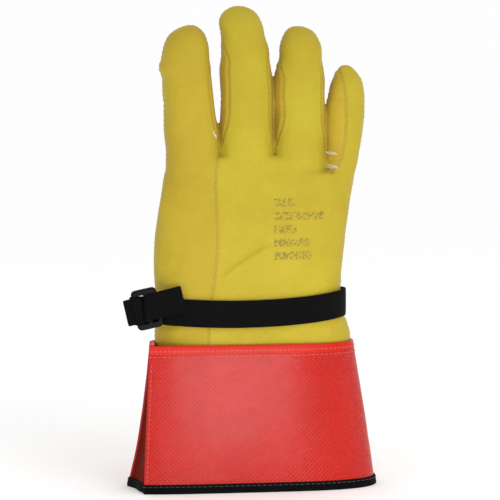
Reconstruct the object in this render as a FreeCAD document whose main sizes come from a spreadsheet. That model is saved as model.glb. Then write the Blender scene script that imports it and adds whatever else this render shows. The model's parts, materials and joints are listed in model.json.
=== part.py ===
import FreeCAD, Part
import Sketcher
import math
import os
from FreeCAD import Placement, Rotation, Vector

# Right-hand leather glove with a flared coated-cloth cuff and a buckled wrist strap.
# It stands on its hem: +Z runs to the fingertips, -Y is the back of the hand, +Y the palm,
# -X the thumb side. The origin is the middle of its footprint, on the plane of the hem.

doc = FreeCAD.newDocument("protector_glove")

# ---------------------------------------------------------------- driving dimensions (mm)
sheet = doc.addObject("Spreadsheet::Sheet", "dims")
STATION_KEYS = ("height", "left", "right", "depth")


def put(name, value):
    """One spreadsheet cell with an alias."""
    put.row += 1
    sheet.set(f"A{put.row}", name)
    sheet.set(f"B{put.row}", str(value))
    sheet.setAlias(f"B{put.row}", name)


put.row = 0

SIZES = {
    "leather": 1.2, "vinyl": 1.2, "webbing": 1.4, "clearance": 0.3, "edge_round": 0.85,
    "seam_x": -25, "fork_x": 46.6, "little_top": 199.5,
    "binding_height": 6.5, "binding_wall": 1.1, "binding_floor": 1.2,
    "gusset_edge": -65.5,
    "top_hem_height": 7, "top_hem_wall": 1,
    "strap_width": 17, "strap_mid": 115, "strap_slope": 2.6, "strap_front_end": -46,
    "bar_radius": 1.6, "bar_x": -75, "bar_y": -18, "bar_z": 115, "buckle_lean": -12,
    "frame_reach": 14.6, "frame_height": 25.4, "frame_thick": 3, "frame_rail": 3.8,
    "mid_bar_start": 6, "mid_bar_end": 8, "right_bar_start": 12.2,
    "loop_wall": 2, "tab_length": 4.6, "tab_lean": -13, "leg_length": 14.5, "leg_turn": 42,
    "run_start": -57.4, "tail_start": -58, "tail_length": 11.6, "tail_tilt": 13, "tail_rise": 4.8,
    "fourchette_half": 8, "knuckle_play": 11,
    "thumb_x": -36, "thumb_y": 36, "thumb_z": 138.5, "thumb_lean": 10, "thumb_hole": 13,
    "thumb_collar_height": 2.4, "thumb_collar_gap": 1.2,
    "frame_corner": 2.8, "loop_overlap": 1.2, "run_drop": 2.3,
    "set_back": -11.7, "set_right": 1.4,
}
for size_name, size_value in SIZES.items():
    put(size_name, size_value)

# Stations of each lofted form: height, left edge, right edge, depth front to back.
STATIONS = {
    "cuff": (("hem", 0, -78, 79.5, 50), ("mid", 44, -70, 73.4, 46), ("rim", 93, -64.6, 64.6, 44)),
    "hand": (("tuck", 79, -63, 63, 40.5), ("collar", 97, -61, 60, 36.5), ("wrist", 133, -61, 58, 36),
             ("palm", 165, -60, 59.5, 35), ("web", 190, -56, 63.4, 31), ("knuckle", 210.5, -54, 66.6, 28)),
    "index": (("base", 210.8, -53.6, -21.3, 26), ("low", 250, -56, -24.5, 25.5),
              ("high", 272, -57.2, -27, 24), ("end", 284, -53.5, -29, 18), ("tip", 291, -44, -34, 8)),
    "middle": (("base", 210.8, -20.6, 12.8, 26.5), ("low", 256, -20.2, 12.6, 26),
               ("high", 282, -19.8, 10, 24), ("end", 297, -20.4, 5, 18), ("tip", 304.5, -12, -2, 8)),
    "ring": (("base", 210.8, 13.5, 46, 26), ("low", 252, 13.9, 46, 25.5),
             ("high", 274, 17.7, 43.8, 23.5), ("end", 286, 20.5, 38.5, 17), ("tip", 291.5, 25, 33, 8)),
    "little": (("base", 199.8, 47, 66.8, 22), ("low", 235, 47.6, 70.3, 21.5),
               ("high", 252, 50.5, 70, 20), ("end", 261, 53.5, 67.2, 14), ("tip", 267, 57, 64, 7)),
    "thumb": (("heel", -17, -7, 7, 10), ("base", -6, -15.5, 15.5, 26), ("low", 36, -16, 16, 27),
              ("high", 62, -14.5, 14.5, 24), ("end", 75, -10, 10, 17), ("tip", 82, -4.5, 4.5, 8)),
}
for form, stations in STATIONS.items():
    for station, *numbers in stations:
        for key, number in zip(STATION_KEYS, numbers):
            put(f"{form}_{station}_{key}", number)

# Hinge height above the hand's edge is knuckle_play; each fold's radius clears its finger's depth.
FINGERS = ("index", "middle", "ring", "little")
FOLD_RADIUS = {"index": 14.3, "middle": 14.6, "ring": 14.3, "little": 12.3}
for finger, fold_radius in FOLD_RADIUS.items():
    put(f"{finger}_fold_radius", fold_radius)
doc.recompute()

SUB_PARTS = []


def d(alias):
    """The expression that reads one cell."""
    return f"dims.{alias}"


def number(alias):
    """The number a cell holds."""
    return float(sheet.get(alias))


def sub_part(thing, label, depth="0", across="0"):
    """Marks an object as one sub-part, named by its label, and moves it so the origin is central."""
    thing.Label = label
    thing.setExpression("Placement.Base.x", f"({across})+{d('set_right')}")
    thing.setExpression("Placement.Base.y", f"({depth})+{d('set_back')}")
    SUB_PARTS.append(thing)
    return thing


def origin_plane(body, role):
    return next(f for f in body.Origin.OriginFeatures if f.Role == role)


# ---------------------------------------------------------------- lofted forms
def section(body, name, height, left, right, half_depth):
    """A rounded rectangle at a height, its four edges and corner radius bound to expressions."""
    sketch = body.newObject("Sketcher::SketchObject", name)
    sketch.AttachmentSupport = (origin_plane(body, "XY_Plane"), [""])
    sketch.MapMode = "FlatFace"
    sketch.setExpression("AttachmentOffset.Base.z", height)
    corner = f"({half_depth})*{d('edge_round')}"
    x0, x1, half, r = (body.evalExpression(e) for e in (left, right, half_depth, corner))
    corners = (
        (Vector(x0 + r, -half + r), math.pi), (Vector(x1 - r, -half + r), 1.5 * math.pi),
        (Vector(x1 - r, half - r), 0.0), (Vector(x0 + r, half - r), 0.5 * math.pi),
    )
    arcs = []
    for centre, start in corners:
        arc = Part.ArcOfCircle(Part.Circle(centre, Vector(0, 0, 1), r), start, start + math.pi / 2)
        arcs.append(sketch.addGeometry(arc, False))
    sides = []
    for i in range(4):
        a = sketch.Geometry[arcs[i]].EndPoint
        b = sketch.Geometry[arcs[(i + 1) % 4]].StartPoint
        sides.append(sketch.addGeometry(Part.LineSegment(a, b), False))
    for i in range(4):
        sketch.addConstraint(Sketcher.Constraint("Tangent", arcs[i], 2, sides[i], 1))
        sketch.addConstraint(Sketcher.Constraint("Tangent", sides[i], 2, arcs[(i + 1) % 4], 1))
    for i in (0, 2):
        sketch.addConstraint(Sketcher.Constraint("Horizontal", sides[i]))
    sketch.addConstraint(Sketcher.Constraint("Vertical", sides[1]))
    for i in (1, 2, 3):
        sketch.addConstraint(Sketcher.Constraint("Equal", arcs[0], arcs[i]))
    bound = (
        ("corner", Sketcher.Constraint("Radius", arcs[0], r), corner),
        ("front", Sketcher.Constraint("DistanceY", -1, 1, sides[0], 1, -half), f"-({half_depth})"),
        ("back", Sketcher.Constraint("DistanceY", -1, 1, sides[2], 1, half), half_depth),
        ("right", Sketcher.Constraint("DistanceX", -1, 1, sides[1], 1, x1), right),
        ("left", Sketcher.Constraint("DistanceX", -1, 1, sides[3], 1, x0), left),
    )
    for label, constraint, expression in bound:
        index = sketch.addConstraint(constraint)
        sketch.renameConstraint(index, label)
        sketch.setExpression(f"Constraints.{label}", expression)
    return sketch


def form_body(form, name, grow="0", trim_end="0"):
    """A solid body lofted through a form's stations, grown all round, its last station lowered."""
    body = doc.addObject("PartDesign::Body", name)
    sketches = []
    last = len(STATIONS[form]) - 1
    for i, (station, *_numbers) in enumerate(STATIONS[form]):
        cells = {key: d(f"{form}_{station}_{key}") for key in STATION_KEYS}
        height = cells["height"] if i < last else f"{cells['height']}-({trim_end})"
        sketches.append(section(
            body, f"{name}_{station}", height, f"{cells['left']}-({grow})",
            f"{cells['right']}+({grow})", f"{cells['depth']}/2+({grow})"))
    doc.recompute()
    loft = body.newObject("PartDesign::AdditiveLoft", f"{name}_loft")
    loft.Profile = sketches[0]
    loft.Sections = sketches[1:]
    loft.Ruled = True
    return body


# ---------------------------------------------------------------- cutting tools and booleans
def box(name, x_span, y_span, z_span):
    """A box between pairs of expressions."""
    solid = doc.addObject("Part::Box", name)
    spans = (("Length", "x", x_span), ("Width", "y", y_span), ("Height", "z", z_span))
    for size, axis, (low, high) in spans:
        solid.setExpression(size, f"({high})-({low})")
        solid.setExpression(f"Placement.Base.{axis}", low)
    return solid


def rod(name, direction, radius, centre, length):
    """A cylinder about a row axis, centred on a point, its radius and centre bound."""
    solid = doc.addObject("Part::Cylinder", name)
    solid.Height = length
    solid.setExpression("Radius", radius)
    solid.Placement.Rotation = Rotation(Vector(0, 0, 1), direction)
    for axis, value, share in zip("xyz", centre, direction):
        solid.setExpression(f"Placement.Base.{axis}", f"({value})-({share * length / 2})")
    return solid


def boolean(kind, name, base, tool):
    result = doc.addObject(f"Part::{kind}", name)
    result.Base = base
    result.Tool = tool
    return result


def common(name, base, tool):
    return boolean("Common", name, base, tool)


def cut(name, base, tool):
    return boolean("Cut", name, base, tool)


def fuse(name, *shapes):
    result = doc.addObject("Part::MultiFuse", name)
    result.Shapes = list(shapes)
    return result


WIDE = "200"
FULL_WIDTH = 300
FULL_DEPTH = 120
MOUTH_DEPTH = 40
LOW_Z = "-10"
HIGH_Z = "320"


# ---------------------------------------------------------------- cuff
cuff_solid = form_body("cuff", "cuff_solid")
cuff_hollow = form_body("cuff", "cuff_hollow", grow=f"-{d('vinyl')}")
cuff_wall = cut("cuff_wall", cuff_solid, cuff_hollow)
above_floor = box("above_floor", (f"-{WIDE}", WIDE), (f"-{WIDE}", WIDE), (d("binding_floor"), WIDE))
cuff_shell = common("cuff_shell", cuff_wall, above_floor)

# The gusset is a wedge on the thumb side, behind the front panel's edge.
gusset_zone = box("gusset_zone", (f"-{WIDE}", d("gusset_edge")), ("-12", "12"), (LOW_Z, WIDE))
front_half = box("front_half", (f"-{WIDE}", WIDE), (f"-{WIDE}", "0"), (LOW_Z, HIGH_Z))
palm_half = box("palm_half", (f"-{WIDE}", WIDE), ("0", WIDE), (LOW_Z, HIGH_Z))
cuff_rest = cut("cuff_rest", cuff_shell, gusset_zone)
sub_part(common("cuff_gusset_piece", cuff_shell, gusset_zone), "cuff_side_gusset")
sub_part(common("cuff_front_piece", cuff_rest, front_half), "cuff_back_panel")
sub_part(common("cuff_palm_piece", cuff_rest, palm_half), "cuff_palm_panel")

# The binding folds round the hem, so the glove stands on it.
binding_outside = form_body("cuff", "binding_outside", grow=d("binding_wall"))
binding_inside = form_body("cuff", "binding_inside", grow=f"-{d('vinyl')}-{d('binding_wall')}")
binding_ring = cut("binding_ring", binding_outside, binding_inside)
binding_zone = box("binding_zone", (f"-{WIDE}", WIDE), (f"-{WIDE}", WIDE), ("0", d("binding_height")))
binding_band = common("binding_band", binding_ring, binding_zone)
sub_part(cut("binding_piece", binding_band, cuff_shell), "cuff_hem_binding")

# The rim's turned hem lies on the outside of the cuff.
rim_outside = form_body("cuff", "rim_outside", grow=d("top_hem_wall"))
rim_ring = cut("rim_ring", rim_outside, cuff_solid)
rim_zone = box("rim_zone", (f"-{WIDE}", WIDE), (f"-{WIDE}", WIDE),
               (f"{d('cuff_rim_height')}-{d('top_hem_height')}", d("cuff_rim_height")))
sub_part(common("rim_piece", rim_ring, rim_zone), "cuff_rim_hem")

# ---------------------------------------------------------------- hand
hand_solid = form_body("hand", "hand_solid")
hand_hollow = form_body("hand", "hand_hollow", grow=f"-{d('leather')}")
hand_wall = cut("hand_wall", hand_solid, hand_hollow)
above_little = box("above_little", (d("fork_x"), WIDE), (f"-{WIDE}", WIDE), (d("little_top"), HIGH_Z))
hand_shell = cut("hand_shell", hand_wall, above_little)

hand_front = common("hand_front", hand_shell, front_half)
hand_palm = common("hand_palm", hand_shell, palm_half)
thumb_side = box("thumb_side", (f"-{WIDE}", d("seam_x")), (f"-{WIDE}", WIDE), (LOW_Z, HIGH_Z))
sub_part(cut("back_piece", hand_front, thumb_side), "back_panel")
sub_part(common("thumb_side_piece", hand_front, thumb_side), "back_side_panel")
thumb_hole = rod("thumb_hole", Vector(0, 1, 0), d("thumb_hole"),
                 (d("thumb_x"), d("thumb_y"), d("thumb_z")), 56)
sub_part(cut("palm_piece", hand_palm, thumb_hole), "palm_panel")


# ---------------------------------------------------------------- fingers
def make_finger(finger, left_strip, right_strip):
    """One finger stall as sewn panels, cut clear of the hand by a fold at its knuckle."""
    solid = form_body(finger, f"{finger}_solid")
    hollow = form_body(finger, f"{finger}_hollow", grow=f"-{d('leather')}", trim_end=d("leather"))
    stall = cut(f"{finger}_stall", solid, hollow)
    hinge = f"{d(f'{finger}_base_height')}+{d('knuckle_play')}"
    radius = d(f"{finger}_fold_radius")
    below = (f"{d(f'{finger}_base_height')}-5", hinge)
    across = (f"-{WIDE}", WIDE)
    fold_rod = rod(f"{finger}_fold_rod", Vector(1, 0, 0), radius, ("0", "0", hinge),
                   FULL_WIDTH)
    fold_box = box(f"{finger}_fold_box", across, across, below)
    fold_zone = fuse(f"{finger}_fold_zone", fold_rod, fold_box)
    inner_rod = rod(f"{finger}_inner_rod", Vector(1, 0, 0), f"{radius}-{d('clearance')}", ("0", "0", hinge),
                    FULL_WIDTH)
    inner_zone = fuse(f"{finger}_inner_zone", inner_rod, fold_box)
    sub_part(common(f"{finger}_fold_piece", stall, inner_zone), f"{finger}_knuckle_fold")

    tube = cut(f"{finger}_tube", stall, fold_zone)
    middle = f"({d(f'{finger}_low_left')}+{d(f'{finger}_low_right')})/2"
    side = (f"-{d('fourchette_half')}", d("fourchette_half"))
    tall = (LOW_Z, d(f"{finger}_end_height"))
    strips = []
    if left_strip:
        zone = box(f"{finger}_left_zone", (f"-{WIDE}", middle), side, tall)
        strips.append(zone)
        sub_part(common(f"{finger}_left_piece", tube, zone), left_strip)
    if right_strip:
        zone = box(f"{finger}_right_zone", (middle, WIDE), side, tall)
        strips.append(zone)
        sub_part(common(f"{finger}_right_piece", tube, zone), right_strip)
    strip_zone = fuse(f"{finger}_strips", *strips) if len(strips) > 1 else strips[0]
    panels = cut(f"{finger}_panels", tube, strip_zone)
    sub_part(common(f"{finger}_back_piece", panels, front_half), f"{finger}_back")
    sub_part(common(f"{finger}_palm_piece", panels, palm_half), f"{finger}_palm")


make_finger("index", None, "index_fourchette")
make_finger("middle", "middle_index_side_fourchette", "middle_ring_side_fourchette")
make_finger("ring", "ring_middle_side_fourchette", "ring_little_side_fourchette")
make_finger("little", "little_fourchette", None)

# ---------------------------------------------------------------- thumb
# The stall lies along the palm; its mouth meets the round hole in the palm panel.
thumb_solid = form_body("thumb", "thumb_solid")
thumb_hollow = form_body("thumb", "thumb_hollow", grow=f"-{d('leather')}", trim_end=d("leather"))
thumb_closed = cut("thumb_closed", thumb_solid, thumb_hollow)
mouth_middle = ("0", str(-MOUTH_DEPTH / 2), "0")
mouth = rod("thumb_mouth", Vector(0, 1, 0), d("thumb_hole"), mouth_middle, MOUTH_DEPTH)
thumb_stall = cut("thumb_stall", thumb_closed, mouth)
thumb_inner = box("thumb_inner_zone", (f"-{WIDE}", WIDE), (f"-{WIDE}", "0"), ("-100", WIDE))
thumb_outer = box("thumb_outer_zone", (f"-{WIDE}", WIDE), ("0", WIDE), ("-100", WIDE))
lean = Rotation(Vector(0, 1, 0), number("thumb_lean"))
for zone, label in ((thumb_inner, "thumb_palm_side"), (thumb_outer, "thumb_outer_side")):
    piece = common(f"{label}_piece", thumb_stall, zone)
    piece.Placement = Placement(Vector(), lean)
    piece.setExpression("Placement.Base.z", d("thumb_z"))
    sub_part(piece, label, depth=d("thumb_y"), across=d("thumb_x"))

collar_middle = f"{d('hand_wrist_depth')}/2+{d('clearance')}+{d('thumb_collar_gap')}"
thumb_centre = (d("thumb_x"), collar_middle, d("thumb_z"))
collar_height = number("thumb_collar_height")
collar_outside = rod("collar_outside", Vector(0, 1, 0), f"{d('thumb_hole')}+{d('leather')}", thumb_centre,
                     collar_height)
collar_inside = rod("collar_inside", Vector(0, 1, 0), d("thumb_hole"), thumb_centre, 2 * collar_height)
sub_part(cut("thumb_collar_piece", collar_outside, collar_inside), "thumb_base_gusset")

# ---------------------------------------------------------------- strap and buckle
strap_outside = form_body("hand", "strap_outside", grow=f"{d('clearance')}+{d('webbing')}")
strap_inside = form_body("hand", "strap_inside", grow=d("clearance"))
strap_ring = cut("strap_ring", strap_outside, strap_inside)
strap_slab = doc.addObject("Part::Box", "strap_slab")
strap_slab.Length = FULL_WIDTH
strap_slab.Width = FULL_DEPTH
strap_slab.setExpression("Height", d("strap_width"))
slope = Rotation(Vector(0, 1, 0), -number("strap_slope"))
slab_corner = slope.multVec(Vector(-FULL_WIDTH / 2, -FULL_DEPTH / 2, -number("strap_width") / 2))
strap_slab.Placement = Placement(Vector(0, 0, number("strap_mid")) + slab_corner, slope)
strap_band = common("strap_band", strap_ring, strap_slab)
buckle_side = box("buckle_side", (f"-{WIDE}", d("strap_front_end")), (f"-{WIDE}", "-6"), (LOW_Z, WIDE))
open_band = cut("open_band", strap_band, buckle_side)

# The front of the strap runs on straight from the wrist to the buckle.
strap_face = f"{d('hand_wrist_depth')}/2+{d('clearance')}"
run_low = f"{d('strap_mid')}-{d('strap_width')}/2-{d('run_drop')}"
strap_run = box("strap_run", (d("run_start"), d("strap_front_end")),
                (f"-({strap_face}+{d('webbing')})", f"-({strap_face})"),
                (run_low, f"{run_low}+{d('strap_width')}"))
sub_part(fuse("strap_piece", open_band, strap_run), "wrist_strap")

# Everything on the buckle is drawn about its round left bar, then leant and moved to the wrist.
bar_place = Placement(Vector(number("bar_x"), number("bar_y"), number("bar_z")),
                      Rotation(Vector(0, 1, 0), number("buckle_lean")))


def place_on_bar(thing, turn=Rotation(), shift=Vector()):
    thing.Placement = bar_place.multiply(Placement(shift, turn))
    return thing


frame = doc.addObject("PartDesign::Body", "buckle_body")
frame_sketch = frame.newObject("Sketcher::SketchObject", "frame_outline")
frame_sketch.AttachmentSupport = (origin_plane(frame, "XZ_Plane"), [""])
frame_sketch.MapMode = "FlatFace"


def rectangle(sketch, label, left, right, bottom, top):
    """A rectangle in a sketch with its four sides bound to expressions."""
    x0, x1, y0, y1 = (sketch.evalExpression(e) for e in (left, right, bottom, top))
    points = (Vector(x0, y0), Vector(x1, y0), Vector(x1, y1), Vector(x0, y1))
    lines = [sketch.addGeometry(Part.LineSegment(points[i], points[(i + 1) % 4]), False) for i in range(4)]
    for i in range(4):
        sketch.addConstraint(Sketcher.Constraint("Coincident", lines[i], 2, lines[(i + 1) % 4], 1))
    for i in (0, 2):
        sketch.addConstraint(Sketcher.Constraint("Horizontal", lines[i]))
        sketch.addConstraint(Sketcher.Constraint("Vertical", lines[i + 1]))
    bound = (("DistanceX", lines[0], 1, x0, left), ("DistanceX", lines[0], 2, x1, right),
             ("DistanceY", lines[0], 1, y0, bottom), ("DistanceY", lines[2], 1, y1, top))
    for side, (kind, line, end, value, expression) in enumerate(bound):
        index = sketch.addConstraint(Sketcher.Constraint(kind, -1, 1, line, end, value))
        sketch.renameConstraint(index, f"{label}{side}")
        sketch.setExpression(f"Constraints.{label}{side}", expression)


half_frame = f"{d('frame_height')}/2"
window = f"{half_frame}-{d('frame_rail')}"
rectangle(frame_sketch, "outer", f"-{d('bar_radius')}", d("frame_reach"), f"-{half_frame}", half_frame)
rectangle(frame_sketch, "left", d("bar_radius"), d("mid_bar_start"), f"-({window})", window)
rectangle(frame_sketch, "right", d("mid_bar_end"), d("right_bar_start"), f"-({window})", window)
doc.recompute()
frame_pad = frame.newObject("PartDesign::Pad", "frame_pad")
frame_pad.Profile = frame_sketch
frame_pad.setExpression("Length", d("frame_thick"))
frame_pad.Midplane = True
doc.recompute()
frame_top = number("frame_height") / 2
corner_edges = [f"Edge{i + 1}" for i, e in enumerate(frame_pad.Shape.Edges)
                if abs(e.tangentAt(e.FirstParameter).y) > 0.9 and abs(e.CenterOfMass.z) > frame_top - 0.1]
frame_round = frame.newObject("PartDesign::Fillet", "frame_round")
frame_round.Base = (frame_pad, corner_edges)
frame_round.setExpression("Radius", d("frame_corner"))
sub_part(place_on_bar(frame), "buckle_frame", depth=d("bar_y"), across=d("bar_x"))

# The anchor loop: webbing folded round the bar, a sewn tab beyond it and a leg back to the wrist.
half_loop = number("strap_width") / 2
loop_skin = doc.addObject("Part::Cylinder", "loop_skin")
loop_skin.setExpression("Radius", f"{d('bar_radius')}+{d('loop_wall')}")
loop_skin.setExpression("Height", d("strap_width"))
place_on_bar(loop_skin, shift=Vector(0, 0, -half_loop))
loop_bore = doc.addObject("Part::Cylinder", "loop_bore")
loop_bore.setExpression("Radius", f"{d('bar_radius')}*sqrt(2)+{d('clearance')}")
loop_bore.setExpression("Height", f"{d('strap_width')}+4")
place_on_bar(loop_bore, shift=Vector(0, 0, -half_loop - 2))


def webbing_block(name, length, turn, start):
    """A doubled stretch of webbing that leaves the bar at a distance, in a direction."""
    block = doc.addObject("Part::Box", name)
    block.setExpression("Length", length)
    block.setExpression("Width", f"2*{d('webbing')}")
    block.setExpression("Height", d("strap_width"))
    return place_on_bar(block, turn, turn.multVec(Vector(start, -number("webbing"), -half_loop)))


loop_start = number("bar_radius") + number("loop_overlap")
leg_turn = Rotation(Vector(0, 0, 1), number("leg_turn"))
loop_leg = webbing_block("loop_leg", d("leg_length"), leg_turn, loop_start)
tab_turn = Rotation(Vector(0, 1, 0), number("tab_lean") - number("buckle_lean")).multiply(
    Rotation(Vector(0, 0, 1), 180))
loop_tab = webbing_block("loop_tab", d("tab_length"), tab_turn, loop_start)
loop_body = fuse("loop_body", loop_skin, loop_leg, loop_tab)
loop_open = cut("loop_open", loop_body, loop_bore)
sub_part(cut("loop_clear", loop_open, strap_outside), "buckle_anchor_loop")

tail = doc.addObject("Part::Box", "tail_piece")
tail.setExpression("Length", d("tail_length"))
tail.setExpression("Width", d("webbing"))
tail.setExpression("Height", f"{d('strap_width')}-1")
tail_turn = Rotation(Vector(0, 1, 0), -number("tail_tilt"))
tail_middle = Vector(number("tail_start"), 0, number("bar_z") + number("tail_rise"))
tail_drop = tail_turn.multVec(Vector(0, 0, -(number("strap_width") - 1) / 2))
tail.Placement = Placement(tail_middle + tail_drop, tail_turn)
tail_depth = f"-({strap_face}+2*{d('webbing')}+{d('clearance')})"
sub_part(tail, "strap_tail", depth=tail_depth, across=str(round(tail.Placement.Base.x, 6)))

# ---------------------------------------------------------------- checks and files
doc.recompute()
for thing in doc.Objects:
    if {"Invalid", "Error"} & set(thing.State):
        raise RuntimeError(f"{thing.Name}: {thing.State}")
for thing in SUB_PARTS:
    if thing.Shape.isNull() or not thing.Shape.isValid() or not thing.Shape.Solids:
        raise RuntimeError(f"{thing.Label}: no valid solid")

os.makedirs("parts", exist_ok=True)
for thing in SUB_PARTS:
    thing.Shape.exportStep(f"parts/{thing.Label}.step")
    extent = thing.Shape.BoundBox
    print(f"{thing.Label:30s} solids {len(thing.Shape.Solids)} volume {thing.Shape.Volume:9.1f} "
          f"x {extent.XMin:.1f}..{extent.XMax:.1f} y {extent.YMin:.1f}..{extent.YMax:.1f} "
          f"z {extent.ZMin:.1f}..{extent.ZMax:.1f}")
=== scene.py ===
import json
import math

import bmesh
import bpy
import numpy as np
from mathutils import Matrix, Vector, noise
from mathutils.kdtree import KDTree


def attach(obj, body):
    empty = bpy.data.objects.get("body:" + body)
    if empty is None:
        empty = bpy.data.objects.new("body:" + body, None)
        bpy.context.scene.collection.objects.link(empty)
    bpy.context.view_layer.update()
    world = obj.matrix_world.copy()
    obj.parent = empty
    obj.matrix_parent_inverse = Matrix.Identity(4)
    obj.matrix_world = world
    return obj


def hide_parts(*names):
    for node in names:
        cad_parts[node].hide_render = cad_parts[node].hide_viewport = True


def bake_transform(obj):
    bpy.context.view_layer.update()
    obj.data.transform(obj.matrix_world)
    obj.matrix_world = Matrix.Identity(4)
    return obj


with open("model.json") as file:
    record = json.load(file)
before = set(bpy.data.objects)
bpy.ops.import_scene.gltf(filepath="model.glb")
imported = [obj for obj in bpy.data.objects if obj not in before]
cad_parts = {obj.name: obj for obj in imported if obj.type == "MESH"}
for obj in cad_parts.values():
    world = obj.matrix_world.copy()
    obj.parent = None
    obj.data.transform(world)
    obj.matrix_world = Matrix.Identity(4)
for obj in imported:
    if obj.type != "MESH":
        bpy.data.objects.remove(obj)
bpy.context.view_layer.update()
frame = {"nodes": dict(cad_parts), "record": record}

mm = 0.001

# Leather protector glove: leather hand and fingers, flared cuff, taped hem, strap and buckle.
# Shapes are drawn in millimetres: x across, y in depth from the middle of the hand, z up.

joints = {j["name"]: j for j in frame["record"]["behaviour"]["joints"]}
handMiddle = joints["index_flex"]["pos_m"][1] / mm          # depth of the hand's middle in the frame
thumbAxis = [v / mm for v in joints["thumb_swing"]["pos_m"]]
barPoint = [v / mm for v in joints["buckle_tilt"]["pos_m"]]
tailPoint = [v / mm for v in joints["tail_lift"]["pos_m"]]


indexAcross = -37.45     # where the index finger stands in the drawing
originAcross = joints["index_flex"]["pos_m"][0] / mm - indexAcross
thumbPlace = (thumbAxis[0] - originAcross, thumbAxis[1] - handMiddle, thumbAxis[2])


def toFrame(points):
    # from the drawing's millimetres to the frame's metres
    moved = np.array(points, float).reshape(-1, 3) + (originAcross, handMiddle, 0)
    return moved * mm


# shared mesh helpers

def curveThrough(rows, at):
    # smooth values through given rows of (position, value, value, ...)
    table = np.array(rows, float)
    at = np.atleast_1d(np.asarray(at, float))
    where, values = table[:, 0], table[:, 1:]
    slope = np.gradient(values, where, axis=0)
    i = np.clip(np.searchsorted(where, at) - 1, 0, len(where) - 2)
    span = where[i + 1] - where[i]
    t = np.clip((at - where[i]) / span, 0, 1)[:, None]
    span = span[:, None]
    return ((2 * t**3 - 3 * t**2 + 1) * values[i] + (t**3 - 2 * t**2 + t) * span * slope[i]
            + (3 * t**2 - 2 * t**3) * values[i + 1] + (t**3 - t**2) * span * slope[i + 1])


def softStep(value, low, high):
    t = np.clip((np.asarray(value, float) - low) / (high - low), 0, 1)
    return t * t * (3 - 2 * t)


def makeObject(name, points, faces, smooth=True):
    mesh = bpy.data.meshes.new(name)
    mesh.from_pydata([tuple(p) for p in points], [], [tuple(f) for f in faces])
    mesh.validate()
    if smooth:
        mesh.polygons.foreach_set("use_smooth", np.ones(len(mesh.polygons), bool))
    made = bpy.data.objects.new(name, mesh)
    bpy.context.scene.collection.objects.link(made)
    return made


def bakeModifiers(made):
    # the modifiers' result becomes the object's own mesh
    view = bpy.context.evaluated_depsgraph_get()
    view.update()
    mesh = bpy.data.meshes.new_from_object(made.evaluated_get(view))
    made.modifiers.clear()
    old = made.data
    made.data = mesh
    mesh.name = made.name
    if isinstance(old, bpy.types.Mesh):
        bpy.data.meshes.remove(old)
    return made


def ringFaces(rings, count, closed=True):
    # quads between rings of points
    faces = []
    last = count if closed else count - 1
    for r in range(rings - 1):
        for k in range(last):
            n = (k + 1) % count
            faces.append((r * count + k, r * count + n, (r + 1) * count + n, (r + 1) * count + k))
    return faces


def loftForm(rows, step=2.0, around=64, wide=2.6, deep=2.2, shift=0.0):
    # a closed form through rows of (height, left, right, depth)
    heights = np.arange(rows[0][0], rows[-1][0] + step / 2, step)
    heights[-1] = rows[-1][0]
    size = curveThrough(rows, heights)
    angle = np.linspace(0, 2 * math.pi, around, endpoint=False)
    c, s = np.cos(angle), np.sin(angle)
    unitX = np.sign(c) * np.abs(c) ** (2 / wide)
    unitY = np.sign(s) * np.abs(s) ** (2 / deep)
    points = []
    for z, (left, right, depth) in zip(heights, size):
        for ux, uy in zip(unitX, unitY):
            points.append(((left + right) / 2 + ux * (right - left) / 2, shift + uy * depth / 2, z))
    faces = ringFaces(len(heights), around)
    top = (len(heights) - 1) * around
    faces.append(tuple(range(around))[::-1])
    faces.append(tuple(range(top, top + around)))
    return points, faces


def cleanNormals(made):
    bm = bmesh.new()
    bm.from_mesh(made.data)
    bmesh.ops.remove_doubles(bm, verts=bm.verts, dist=1e-6)
    bmesh.ops.recalc_face_normals(bm, faces=bm.faces)
    bm.to_mesh(made.data)
    bm.free()
    return made


def finish(made, body, material, nodes=(), bend=None):
    # material, the nodes it stands for and the body it rides on; a piece given a bend is baked in place
    # without a body
    made.data.materials.clear()
    made.data.materials.append(material)
    if nodes:
        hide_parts(*nodes)
    if bend:
        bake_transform(made)
    else:
        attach(made, body)
    return made


# materials

def startMaterial(name):
    material = bpy.data.materials.new(name)
    material.use_nodes = True
    tree = material.node_tree
    tree.nodes.clear()
    return material, tree.nodes, tree.links


def layOut(nodes, frames):
    # columns of nodes under their frames, left to right
    column = 0
    for label, members in frames:
        box = nodes.new("NodeFrame")
        box.label = label
        for row, node in enumerate(members):
            node.parent = box
            node.location = (column * 230 - 1800, 300 - row * 190)
            if row % 5 == 4:
                column += 1
        column += 1


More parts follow.
